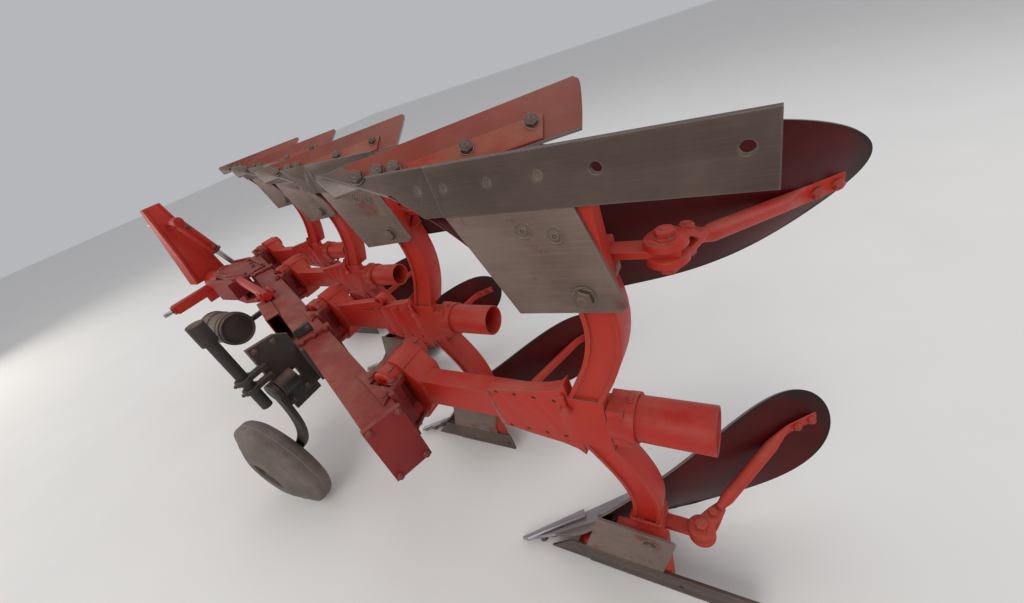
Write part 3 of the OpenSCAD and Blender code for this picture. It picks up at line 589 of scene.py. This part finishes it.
# The share is nearly flat, so the normal at one place serves all that lies on its back.
share_normal = back_normal(48.0, 200.0)
share_front = share_grid()
share_points, share_faces, share_sides = plate(share_front, SHARE_T)
columns, rows = share_front.shape[0] - 1, share_front.shape[1] - 1
share_sides[columns * rows : (columns + NOSE_COLUMNS) * rows] = 2
carrier_points, carrier_faces, _ = plate(carrier_strip(), CARRIER_T)
flush_head = [(0.01, -3), (12, -3), (12, 0.5), (10.5, 1.0), (4, 0.3), (0.01, 0.2)]
shin_bolts = [(float(reach(u, SHIN_BOLT_Y)), u) for u in SHIN_BOLTS]
tail_bolts = [(TAIL_S - TAIL_BACK + d, TAIL_U) for d in TAIL_BOLTS]
for upper, side in SIDES:
    shares, nuts, carriers, flush = Batch(), Batch(), Batch(), Batch()
    for k in range(BODIES):
        shares.add(share_points, share_faces, k, upper, share_sides)
        carriers.add(carrier_points, carrier_faces, k, upper)
        for s, u in SHARE_BOLTS:
            place = on_level(u, s) + share_normal * (SHARE_T + CARRIER_T * (s > CARRIER_FROM))
            nuts.add(*turned(nut_profile(30, 17, 18), place, share_normal), k, upper)
        for s, u in SHARE_BOLTS + shin_bolts + tail_bolts:
            flush.add(*turned(flush_head, on_level(u, s), -back_normal(u, s)), k, upper)
    carriers.build(side + "share_carriers", (carrier_paint,), "frame", "paint", (), 40, 0.001)
    shares.build(side + "share_blades", (share_steel, share_back, nose_steel), "frame", "steel",
                 (side + "shares",), 40, 0.001)
    nuts.build(side + "share_nuts", (nut_steel,), "frame", "steel")
    flush.build(side + "plough_bolt_heads", (nut_steel,), "frame", "steel")
# The upper points get darker brown steel than the lower ones: partly unscoured steel, partly painted shade.
frame["nodes"]["upper_points"].data.materials[0] = point_steel
frame["nodes"]["lower_points"].data.materials[0] = share_steel

# Landsides
# Flat wearing bars of steel that slide along the furrow's wall, a short tip before a bar on each body.
# Countersunk bolts hold them through a row of holes. One hole at the rear end of each bar stays empty, and
# two on the long bar of the rear body.
LANDSIDE_T, BAR_H, BAR_U, BAR_DROP = 14.0, 112.0, 48.0, 0.025
JOINT_X, JOINT_GAP, FRONT_TIP, TIP_TOP, TIP_LOWER = 505.0, 3.0, 680.0, 560.0, 3.5
BAR_END, REAR_END = 120.0, -114.0
HOLE_UP, HOLE_R, HEAD_R, HEAD_DEPTH = 47.0, 12.0, 11.5, 2.5
LONG_HOLES = [(473, True), (363, True), (252, True), (143, False), (-75, False)]
TIP_HOLES = [(547, True)]


def bar_low(x):
    """Height of the bars' lower edge, which drops a little toward the front."""
    return BAR_U - BAR_DROP * x


def bored_plate(outline, holes, y0, thick, edge=1.2):
    """A flat plate in the plane of x and u, from y0 to the left, with round holes given as x, u and radius.
    It is a filled 2D curve, whose extrusion and bevel give the thickness and the rounded edges."""
    curve = bpy.data.curves.new("plate", "CURVE")
    curve.dimensions, curve.fill_mode, curve.extrude = "2D", "BOTH", (thick / 2 - edge) / 1000
    curve.bevel_depth, curve.bevel_resolution = edge / 1000, 1
    theta = np.arange(0, 360, 12)
    unit_ring = np.stack([cos(theta), sin(theta)], -1)
    rings = [np.array(outline, float)] + [np.array([x, u]) + r * unit_ring for x, u, r in holes]
    for ring in rings:
        line = curve.splines.new("POLY")
        line.points.add(len(ring) - 1)
        corners = np.column_stack([ring / 1000, np.zeros(len(ring)), np.ones(len(ring))])
        line.points.foreach_set("co", corners.ravel())
        line.use_cyclic_u = True
    ob = bpy.data.objects.new("plate", curve)
    mesh = bpy.data.meshes.new_from_object(ob)
    flat = np.zeros(len(mesh.vertices) * 3)
    mesh.vertices.foreach_get("co", flat)
    flat = flat.reshape(-1, 3) * 1000
    faces = [list(p.vertices) for p in mesh.polygons]
    bpy.data.objects.remove(ob)
    bpy.data.meshes.remove(mesh)
    return np.stack([flat[:, 0], y0 + thick / 2 - flat[:, 2], flat[:, 1]], -1), faces


def sunk_head(x, u, depth):
    """The dished head of a countersunk bolt that fills its hole to depth under the plate's face."""
    profile = [(0.01, -11), (HEAD_R, -11), (HEAD_R, -depth), (HEAD_R - 1.5, -depth + 0.8),
               (HEAD_R * 0.5, -depth - 0.8), (0.01, -depth - 1.2)]
    return turned(profile, (x, SIDE_Y, u), (0, 1, 0), 20)


def bar_outline(rear, front):
    """The four corners of a bar between two places along the furrow."""
    return [(rear, bar_low(rear)), (front, bar_low(front)), (front, bar_low(front) + BAR_H),
            (rear, bar_low(rear) + BAR_H)]


def add_bar(batch, heads, outline, holes, k, upper, lower=0.0):
    """One bar with its holes, and the bolt heads in those that carry one. Its face may lie a little lower
    than the side."""
    spots = [(x, bar_low(x) + HOLE_UP, filled) for x, filled in holes]
    bores = [(x, u, HOLE_R) for x, u, _ in spots]
    batch.add(*bored_plate(outline, bores, SIDE_Y - LANDSIDE_T, LANDSIDE_T - lower), k, upper)
    for x, u, filled in spots:
        if filled:
            heads.add(*sunk_head(x, u, HEAD_DEPTH + lower), k, upper)


bar_steel = wearing_steel("landside_steel", srgb(66, 50, 43), srgb(84, 68, 59), 0.35)
bolt_steel = wearing_steel("bolt_steel", srgb(80, 62, 50), srgb(112, 92, 78), 0.45)
tip_outline = [(JOINT_X, bar_low(JOINT_X)), (FRONT_TIP, bar_low(FRONT_TIP)),
               (TIP_TOP, bar_low(TIP_TOP) + BAR_H), (JOINT_X, bar_low(JOINT_X) + BAR_H)]
long_bar = bar_outline(REAR_END, JOINT_X - JOINT_GAP)
short_bar = bar_outline(BAR_END, JOINT_X - JOINT_GAP)
short_holes = [(x, filled) for x, filled in LONG_HOLES if x > BAR_END]
for upper, side in SIDES:
    bars, rear_bars, heads = Batch(), Batch(), Batch()
    for k in range(BODIES):
        add_bar(bars, heads, tip_outline, TIP_HOLES, k, upper, TIP_LOWER)
        if k == 0:
            add_bar(rear_bars, heads, long_bar, LONG_HOLES, k, upper)
        else:
            add_bar(bars, heads, short_bar, short_holes, k, upper)
    bars.build(side + "landside_bars", (bar_steel,), "frame", "steel", (side + "landsides",))
    rear_bars.build(side + "long_landside_bar", (bar_steel,), "frame", "steel", (side + "rear_landsides",))
    heads.build(side + "landside_bolt_heads", (bolt_steel,), "frame", "steel")

# Frog plates
# A flat steel plate covers the frog's side above the landside, brown with scraps of its first red.
# Two large bolts with dished heads and one hexagon bolt hold it.
FOOT_U, PLATE_GAP, PLATE_REAR, PLATE_FRONT, PLATE_LOWER = 380.0, 3.0, 200.0, 498.0, 2.0
FROG_BOLTS, FROG_BOLT_R, FROG_HOLE_R = [(318, 196), (251, 212)], 22.0, 22.5
CROWN_X, CROWN_U = 222, 357


def dished_head(r):
    """A large round bolt head in a turned recess: an outer ring, a groove and a low crown with a socket."""
    return [(0.01, -6), (r, -6), (r, 0.3), (r - 1.5, 0.9), (r - 5, 0.9), (r - 6.5, -0.8), (r * 0.52, -0.8),
            (r * 0.44, 1.6), (r * 0.3, 2.4), (r * 0.24, -1.5), (0.01, -1.5)]


frog_steel = wearing_steel("frog_plate_steel", srgb(88, 70, 61), srgb(118, 99, 89), 0.35, old_paint=0.7)
frog_face = SIDE_Y - PLATE_LOWER
frog_outline = [(PLATE_REAR, bar_low(PLATE_REAR) + BAR_H + PLATE_GAP), (138, FOOT_U + 5), (150, FOOT_U + 16),
                (396, FOOT_U + 30), (PLATE_FRONT, bar_low(PLATE_FRONT) + BAR_H + PLATE_GAP)]
frog_bores = [(x, u, FROG_HOLE_R) for x, u in FROG_BOLTS]
frog_plate = bored_plate(frog_outline, frog_bores, SIDE_Y - LANDSIDE_T, LANDSIDE_T - PLATE_LOWER)
for upper, side in SIDES:
    plates, heads = Batch(), Batch()
    for k in range(BODIES):
        plates.add(*frog_plate, k, upper)
        for x, u in FROG_BOLTS:
            heads.add(*turned(dished_head(FROG_BOLT_R), (x, frog_face, u), (0, 1, 0), 32), k, upper)
        heads.add(*turned(nut_profile(40, 18, 26), (CROWN_X, frog_face, CROWN_U), (0, 1, 0)), k, upper)
    plates.build(side + "frog_side_plates", (frog_steel,), "frame", "steel", (side + "frog_plates",))
    heads.build(side + "frog_bolts", (bolt_steel,), "frame", "steel")

# Stays
# Each moldboard's tail is braced from its frog. Two steel straps with round ears are bolted over and under a
# lug, and a tube runs from them to the board's back, where its flattened end takes two bolts.
# A laid bead welds the foot of each leg to the frog.
STAY_FROM, STAY_AIM, LUG_T = np.array([74.0, 0.0, 326.0]), np.array([-0.48, -0.877, 0.0]), 18.0
STRAP_BACK, STRAP_AHEAD, STRAP_STEPS, STRAP_OFF, STRAP_ARCH = -30.0, 108.0, 24, 9.0, 6.0
STRAP_W, STRAP_TAPER, STRAP_T, FORK_RISE, FORK_FROM, FORK_L = 54.0, 20.0, 17.0, 32.0, 38.0, 60.0
STAY_D, TUBE_FROM, NECK_L, NECK_CUT = 43.0, np.array([-46.08, -83.52, 16.0]), 28.0, 0.3
BEND_BACK, FLAT_L, FLAT_W, FLAT_T = 78.0, 132.0, 50.0, 12.0
FLAT_FROM, FLAT_EASE, FLAT_OFF = 60.0, 90.0, 7.0
LEG_FOOT = [(228.0, -34.0), (197.0, -34.0), (197.0, 56.0), (295.0, 56.0), (295.0, 24.0)]
BEAD_W, BEAD_H, BEAD_SWELL, BEAD_STEPS = 14.0, 12.0, 0.9, 160


def superellipse(power, sides=28):
    """A unit outline: a circle at power 2, and nearly a square with round corners at 6."""
    t = np.arange(sides) * 360 / sides
    return np.stack([np.sign(w) * np.abs(w) ** (2 / power) for w in (cos(t), sin(t))], -1)


def swept(path, section, wide, tall, up=(0, 0, 1)):
    """A section of unit offsets carried along a path, multiplied at each step by half its width and half
    its height, and closed by a point at both ends."""
    path = np.array(path, float)
    ahead = np.gradient(path, axis=0)
    ahead /= np.linalg.norm(ahead, axis=1, keepdims=True)
    side = np.cross(ahead, up)
    side /= np.linalg.norm(side, axis=1, keepdims=True)
    over = np.cross(side, ahead)
    out = np.broadcast_to(wide, len(path))[:, None] * section[:, 0]
    rise = np.broadcast_to(tall, len(path))[:, None] * section[:, 1]
    rings = path[:, None] + out[..., None] * side[:, None] + rise[..., None] * over[:, None]
    first, last = np.broadcast_to(path[0], rings[:1].shape), np.broadcast_to(path[-1], rings[:1].shape)
    rings = np.concatenate([first, rings, last])
    i = np.arange(rings.shape[0] * rings.shape[1]).reshape(rings.shape[:2])
    return rings.reshape(-1, 3), round_faces(i)


def along_corners(corners, z, n=36):
    """Points at even steps along a bent line at one height."""
    corners = np.array(corners, float)
    far = np.concatenate([[0], np.cumsum(np.linalg.norm(np.diff(corners, axis=0), axis=1))])
    t = np.linspace(0, far[-1], n)
    return np.stack([np.interp(t, far, corners[:, 0]), np.interp(t, far, corners[:, 1]), 0 * t + z], -1)


def stay_tube():
    """The tube's axis, half width and half height. The axis runs straight to BEND_BACK before the seat, then
    along the board. The round section narrows to a neck at the straps and is drawn flat near the seat."""
    start = STAY_FROM + TUBE_FROM
    bend = seat - tail_dir * BEND_BACK
    straight = start + (bend - start) * np.linspace(0, 1, 40)[:-6, None]
    path = np.concatenate([straight, bend + tail_dir * np.linspace(0, FLAT_L, 12)[:, None]])
    for _ in range(3):
        path[1:-1] = (path[:-2] + path[1:-1] * 2 + path[2:]) / 4
    flat = np.clip(1 - (np.linalg.norm(path - seat, axis=1) - FLAT_FROM) / FLAT_EASE, 0, 1)
    neck = np.clip(1.6 - np.linalg.norm(path - start, axis=1) / NECK_L, 0, 1)
    radius = STAY_D / 2 * (1 - NECK_CUT * neck) * (1 - flat)
    return path, radius + FLAT_T / 2 * flat, radius + FLAT_W / 2 * flat


def strap_paths():
    """Both straps run along STAY_AIM. The one over the lug arches with the square of a sine, and the one
    under it rises by FORK_RISE to the tube in a smooth S."""
    far = np.linspace(STRAP_BACK, STRAP_AHEAD, STRAP_STEPS)
    plan = STAY_FROM + STAY_AIM * far[:, None]
    arch = STRAP_OFF + STRAP_ARCH * np.sin(np.linspace(0, np.pi, STRAP_STEPS)) ** 2
    part = np.clip((far - FORK_FROM) / FORK_L, 0, 1)
    fork = FORK_RISE * part * part * (3 - 2 * part) - LUG_T - STRAP_OFF
    return plan + np.outer(arch, (0, 0, 1)), plan + np.outer(fork, (0, 0, 1))


def hexagon(at, axis, flats, tall):
    """A hexagon bolt head or nut on its washer."""
    return turned(nut_profile(flats, tall, flats * 0.62), at, axis)


circle, flat_bar = superellipse(2.0), superellipse(6.0)
tail = on_level(TAIL_U, TAIL_S - TAIL_BACK)
tail_dir = on_level(TAIL_U, TAIL_S - TAIL_BACK + 1) - tail
tail_out = np.cross(tail_dir, on_level(TAIL_U + 20, TAIL_S - TAIL_BACK) - tail)
tail_out /= np.linalg.norm(tail_out)
seat = tail + tail_out * (BOARD_T + FLAT_OFF)
tube_path, tube_out, tube_rise = stay_tube()
strap_half = STRAP_W / 2 - STRAP_TAPER / 2 * np.linspace(0, 1, STRAP_STEPS) ** 3
braces = [swept(tube_path, circle, tube_out, tube_rise)]
braces += [swept(path, flat_bar, strap_half, STRAP_T / 2) for path in strap_paths()]
ear = [(0.01, -10), (41, -10), (44, -7), (44, 7), (41, 10), (0.01, 10)]
bead_half = BEAD_W / 2 + BEAD_SWELL * sin(np.arange(BEAD_STEPS) * 90.0)
bead = swept(along_corners(LEG_FOOT, FOOT_U, BEAD_STEPS), circle, bead_half, BEAD_H / 2)
# Distance along the straps, size over the flats, then height and seat of the upper and of the lower nut.
STRAP_BOLTS = [(0, 38, (24, 19), (18, LUG_T + 19)), (64, 28, (19, 20), (13, LUG_T + 4))]
for upper, side in SIDES:
    tubes, bolts, welds = Batch(), Batch(), Batch()
    for k in range(BODIES):
        for points, faces in braces:
            tubes.add(points, faces, k, upper)
        for z in (STRAP_OFF, -LUG_T - STRAP_OFF):
            tubes.add(*turned(ear, STAY_FROM + (0, 0, z), (0, 0, 1), 48), k, upper)
        for far, flats, (tall, above), (short, below) in STRAP_BOLTS:
            place = STAY_FROM + STAY_AIM * far
            bolts.add(*hexagon(place + (0, 0, above), (0, 0, 1), flats, tall), k, upper)
            bolts.add(*hexagon(place - (0, 0, below), (0, 0, -1), flats, short), k, upper)
        for d in TAIL_BOLTS:
            place = seat + tail_dir * d + tail_out * 5
            bolts.add(*turned(nut_profile(26, 15, 17), place, tail_out), k, upper)
        welds.add(*bead, k, upper)
    welds.build(side + "foot_welds", (red_paint,), "frame", "paint")
    tubes.build(side + "stay_tubes", (red_paint,), "frame", "paint", (side + "stays",), 50)
    bolts.build(side + "stay_bolts", (red_paint,), "frame", "paint")

# Fittings of the frame
# Hexagon bolts hold the end plate, the flanges across the beam and the brackets of the arms. A painted ring
# of steel closes the end of each pivot bar, a screw holds each spring tube in its collar, and each arm
# carries a turned peg.
BEAM_END, BEAM_TURN, BEAM_H = (980.0, 270.0), -np.degrees(np.arctan2(FURROW, PITCH)), 200.0
END_PLATE_T, END_BOLTS = 20.0, [(y, z) for y in (-56, 56) for z in (-116, 116)]
FLANGES, FLANGE_T = (905.0, 2545.0), 44.0
FLANGE_BOLTS = [(y, z) for y in (-62, 0, 62) for z in (-110, 110)]
FLANGE_BOLTS += [(y, z) for y in (-80, 80) for z in (-45, 45)]
BRACKET_BOLTS, BRACKET_T = ((1052, 180), (1072, 112), (1192, 108)), 12.0
PIVOT_X, PIVOT_FACE, PIVOT_UP = 1120.0, 111.0, 98.0
SCREW_X, SCREW_UP, PEG_X, PEG_Y, PEG_UP = 222.0, 76.0, 401.0, 63.0, 84.0


def on_beam(points):
    """Body coordinates of points whose x runs forward along the beam from its rear end, and whose z starts
    at the middle plane."""
    x, y, z = np.moveaxis(np.array(points, float), -1, 0)
    forward = BEAM_END[0] + x * cos(BEAM_TURN) - y * sin(BEAM_TURN)
    left = BEAM_END[1] + x * sin(BEAM_TURN) + y * cos(BEAM_TURN)
    return np.stack([forward, left, MIDDLE + z], -1)


def beam_bolt(at, way, flats, tall):
    """A hexagon on a face across the beam that looks forward, way 1, or back, way -1."""
    points, faces = hexagon(at, (way, 0, 0), flats, tall)
    return on_beam(points), faces


beam_bolts, red_bolts = Batch(), Batch()
for y, z in END_BOLTS:
    beam_bolts.add(*beam_bolt((-END_PLATE_T, y, z), -1, 20, 13))
for x in FLANGES:
    for y, z in FLANGE_BOLTS:
        beam_bolts.add(*beam_bolt((x, y, z), -1, 17, 12))
        beam_bolts.add(*beam_bolt((x + FLANGE_T, y, z), 1, 17, 12))
pivot_ring = [(22, -2), (24, 4), (30, 7), (44, 6), (50, 3), (53, -2)]
peg = [(0.01, -22), (20, -22), (21, -18), (10, -9), (7.5, 0), (7.5, 34), (9, 38), (6, 42), (0.01, 42)]
for k in range(BODIES):
    for upper, _ in SIDES:
        for x, y in BRACKET_BOLTS:
            place = (x, y, MIDDLE + BEAM_H / 2 + BRACKET_T)
            beam_bolts.add(*hexagon(place, (0, 0, 1), 26, 15), k, upper)
        place = (PIVOT_X, PIVOT_FACE, MIDDLE + PIVOT_UP)
        red_bolts.add(*turned(pivot_ring, place, (0, 1, 0), 40, True), k, upper)
        red_bolts.add(*hexagon((SCREW_X, 0, MIDDLE + SCREW_UP), (0, 0, 1), 19, 13), k, upper)
    red_bolts.add(*turned(peg, (PEG_X, PEG_Y, MIDDLE + PEG_UP), (0, 0, 1)), k)
beam_bolts.build("beam_bolts", (shade_paint,), "frame", "shade_paint")
red_bolts.build("painted_fittings", (red_paint,), "frame", "paint", (), 45)

# Yoke and strut
# Flat steel bars stiffen the edges of the yoke's plates, and a row of bolts ties the plates to the beam.
# The strut's rear end is pinned between two rounded cheeks that stand on the box beside the beam.
YOKE_TOP, TRIM_W, TRIM_H, TRIM_UP = 124.0, 18.0, 20.0, 8.0
YOKE_EDGES = ([(3452, -654), (3700, -616), (4022, -672)], [(3418, -790), (3830, -914), (4022, -872)])
YOKE_BOLTS, YOKE_BOLT_Y = (2750, 2890, 3030), 34
STRUT_FROM, STRUT_TO, STRUT_UP, STRUT_R = np.array([2640.0, -352.0]), np.array([3389.0, -566.0]), 141.0, 30.0
CHEEK_R, CHEEK_T, CHEEK_FOOT, CHEEK_FLARE, CHEEK_GAP, CHEEK_IN = 40.0, 12.0, 99.0, 12.0, 1.0, 46.0


def cheek_outline():
    """Straight sides from the foot on the box up to a half circle round the strut's axis."""
    a = np.arange(0, 181, 12)
    foot = CHEEK_FOOT - STRUT_UP
    half_circle = CHEEK_R * np.stack([cos(a), sin(a)], -1)
    return np.concatenate([[(CHEEK_R + CHEEK_FLARE, foot)], half_circle, [(-CHEEK_R - CHEEK_FLARE, foot)]])


yoke_trim, strut_trim = Batch(), Batch()
for upper, _ in SIDES:
    for edge in YOKE_EDGES:
        path = along_corners(edge, MIDDLE + YOKE_TOP + TRIM_UP)
        yoke_trim.add(*swept(path, flat_bar, TRIM_W / 2, TRIM_H / 2), 0, upper)
    for x in YOKE_BOLTS:
        yoke_trim.add(*hexagon(on_beam((x, YOKE_BOLT_Y, YOKE_TOP)), (0, 0, 1), 30, 20), 0, upper)
strut_way = (STRUT_TO - STRUT_FROM) / np.linalg.norm(STRUT_TO - STRUT_FROM)
strut_side = np.array([-strut_way[1], strut_way[0]])
hinge = STRUT_FROM + strut_way * CHEEK_IN
for way in (1, -1):
    inner = way * (STRUT_R + CHEEK_GAP)
    outer = inner + way * CHEEK_T
    cheek, cheek_faces = bored_plate(cheek_outline(), [], min(inner, outer), CHEEK_T)
    plan = hinge + cheek[:, :1] * strut_way + cheek[:, 1:2] * strut_side
    strut_trim.add(np.concatenate([plan, cheek[:, 2:] + MIDDLE + STRUT_UP], 1), cheek_faces)
    place = (*(hinge + outer * strut_side), MIDDLE + STRUT_UP)
    strut_trim.add(*hexagon(place, (*(way * strut_side), 0), 34, 20))
yoke_trim.build("yoke_trim", (shade_paint,), "frame", "shade_paint", (), 40)
strut_trim.build("strut_cheeks", (red_paint,), "frame", "paint", (), 40)

# Depth wheel
# A smooth solid tyre of rubber, grey-brown with field dust, slopes like a cone toward its outer side. It is
# pressed on a cast hub with five nuts and a dust cap. Both profiles are steps of radius and distance along
# the axle.
WHEEL_X, WHEEL_R = 2260.0, 315.0
HUB_NUTS, NUT_CIRCLE, HUB_FACE = 5, 68.0, 364.0
TYRE = [(101, 262), (104, 228), (112, 223), (180, 222), (236, 226), (276, 235), (300, 249), (311, 262),
        (315, 276), (315, 296), (312.5, 298), (312.5, 303), (315, 305), (315, 322), (312, 333), (306, 340),
        (298, 344), (250, 364), (246, 367), (241, 367), (190, 388), (152, 399), (132, 402), (112, 401),
        (104, 396), (101, 372)]
HUB = [(0.01, 390), (24, 390), (31, 385), (33, 369), (44, 366), (90, 364), (98, 362), (100.2, 356),
       (100.2, 256), (96, 252), (33, 252), (31, 255), (31, 311), (0.01, 311)]


def dusty_rubber():
    """Dry-soil coloured rubber: light edges of scuffs and painted highlight, dust in hollows, fine cracks."""
    f = Finish("dusty_rubber")
    blotch, fine = f.noise(5, 6, 0.62), f.noise(45, 5, 0.7)
    colour = f.mix(blotch.step(0.35, 0.65), srgb(84, 74, 68), srgb(116, 101, 92))
    colour = f.mix(fine.step(0.5, 0.75) * 0.5, colour, srgb(62, 55, 51))
    # Lighter along edges and ridges: partly scuffs, partly painted highlight.
    colour = f.mix((f.edges(0.008) * 2.5).step(0.1, 0.6), colour, srgb(148, 132, 121))
    f.feed("Base Color", colour)
    f.feed("Roughness", 0.62 + blotch * 0.2)
    f.relief(fine * 0.6 + blotch * 0.4, 0.0012, 0.6)
    return f.mat


wheel_centre = (WHEEL_X, 0, WHEEL_R)
tyre, hub = Batch(), Batch()
tyre.add(*turned(TYRE, wheel_centre, (0, 1, 0), 128, True))
hub.add(*turned(HUB, wheel_centre, (0, 1, 0), 64))
for a in np.arange(HUB_NUTS) * 360 / HUB_NUTS:
    place = (WHEEL_X + NUT_CIRCLE * cos(a), HUB_FACE, WHEEL_R + NUT_CIRCLE * sin(a))
    hub.add(*hexagon(place, (0, 1, 0), 24, 15))
tyre.build("solid_tyre", (dusty_rubber(),), "depth_wheel", "tyre", ("wheel_tyre",), 30)
hub.build("cast_hub", (iron,), "depth_wheel", "dark_iron", ("wheel_hub",))

# Wheel bracket, stalk and drum
# The dark steel plate across the beam is bolted on, and two clamp rings with a screw hold the wheel's stalk.
# The drum beside the beam is sheet steel with pressed lids, a rolled rim round each, and two bands.
PLATE_X, PLATE_BOLTS = 1858.0, ((160, -88), (160, 218), (70, 204), (-98, 144), (-98, -90), (70, -88))
STALK_X, STALK_Y, CLAMP_HEIGHTS, CLAMP_SCREW = 1870.0, 262.0, (86, 141), 38.0
DRUM_FROM, DRUM_TO, DRUM_Y, BANDS = 2890.0, 3190.0, -175.0, (2975, 3095)
clamp = [(25.5, -12), (37, -12), (39, -10), (39, 10), (37, 12), (25.5, 12)]
lid = [(0.01, -6), (108, -6), (109, 3), (105, 8), (98, 8), (94, 2), (88, 0), (60, 7), (26, 10), (0.01, 11)]
band = [(105, -9), (108.5, -8), (108.5, 8), (105, 9)]
dark_parts = Batch()
for y, z in PLATE_BOLTS:
    dark_parts.add(*hexagon((PLATE_X, y, MIDDLE + z), (-1, 0, 0), 24, 14))
for z in CLAMP_HEIGHTS:
    dark_parts.add(*turned(clamp, (STALK_X, STALK_Y, MIDDLE + z), (0, 0, 1), 36, True))
    dark_parts.add(*hexagon((STALK_X, STALK_Y + CLAMP_SCREW, MIDDLE + z), (0, 1, 0), 16, 10))
for x, way in ((DRUM_FROM, -1), (DRUM_TO, 1)):
    dark_parts.add(*turned(lid, (x, DRUM_Y, MIDDLE), (way, 0, 0), 64))
for x in BANDS:
    dark_parts.add(*turned(band, (x, DRUM_Y, MIDDLE), (1, 0, 0), 64, True))
dark_parts.build("dark_fittings", (iron,), "frame", "dark_iron")

# Headstock
# Welded strips of steel stiffen the edges of the leaning tower, and each lower link pin has a collar. The
# cylinder that turns the plough over has a screwed gland and two capped unions.
TOWER_X, TOWER_HALF, TOWER_TAPER, KNEE_UP, TOWER_LEAN, LEAN_H = 4390.0, 138.0, 0.1, 300, 90.0, 476.0
AXIS_Y, STRIP_W, STRIP_T, LINK_X, LINK_DOWN = -770.0, 18.0, 16.0, 4440.0, 50.0
CYLINDER_X, CYLINDER_UP, CRANK_R, UNIONS = 4240.0, 600.0, 200.0, (70, 322)
edge_strips = Batch()
up = np.concatenate([np.arange(52, 301, 31), np.arange(330, 771, 40)])
forward = TOWER_X + TOWER_LEAN * np.maximum(up - KNEE_UP, 0) / LEAN_H
for way in (-1, 1):
    strip = np.stack([forward, AXIS_Y + way * (TOWER_HALF - TOWER_TAPER * up), MIDDLE + up], -1)
    edge_strips.add(*swept(strip, flat_bar, STRIP_W / 2, STRIP_T / 2, (1, 0, 0)))
link_collar = [(26, 3), (38, 3), (40, 5), (40, 14), (38, 16), (26, 16)]
crossbar_right, crossbar_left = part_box("crossbar")
for y, way in ((crossbar_left.y * 1000, 1), (crossbar_right.y * 1000, -1)):
    place = (LINK_X, y + REAR_Y, MIDDLE - LINK_DOWN)
    edge_strips.add(*turned(link_collar, place, (0, way, 0), 40, True))
edge_strips.build("headstock_trim", (red_paint,), "headstock", "paint", (), 40)

cylinder_trim = Batch()
down = np.array([0, -CRANK_R, -CYLINDER_UP]) / np.hypot(CRANK_R, CYLINDER_UP)
top_pin = np.array([CYLINDER_X, AXIS_Y, MIDDLE + CYLINDER_UP])
gland = [(23, 352), (45.1, 352), (49, 352), (50, 354), (50, 366), (47, 369), (30, 370), (27, 374), (23, 374)]
union = [(0.01, 40), (17, 40), (17, 47), (13, 48, 1), (13, 60, 1), (9.5, 62), (9.5, 70), (11, 70, 1),
         (11, 82, 1), (8, 84), (0.01, 84)]
cylinder_trim.add(*turned(gland, top_pin, down, 40, True))
for far in UNIONS:
    cylinder_trim.add(*turned(union, top_pin + far * down, (-1, 0, 0)))
cylinder_trim.build("cylinder_fittings", (iron,), "headstock", "dark_iron")
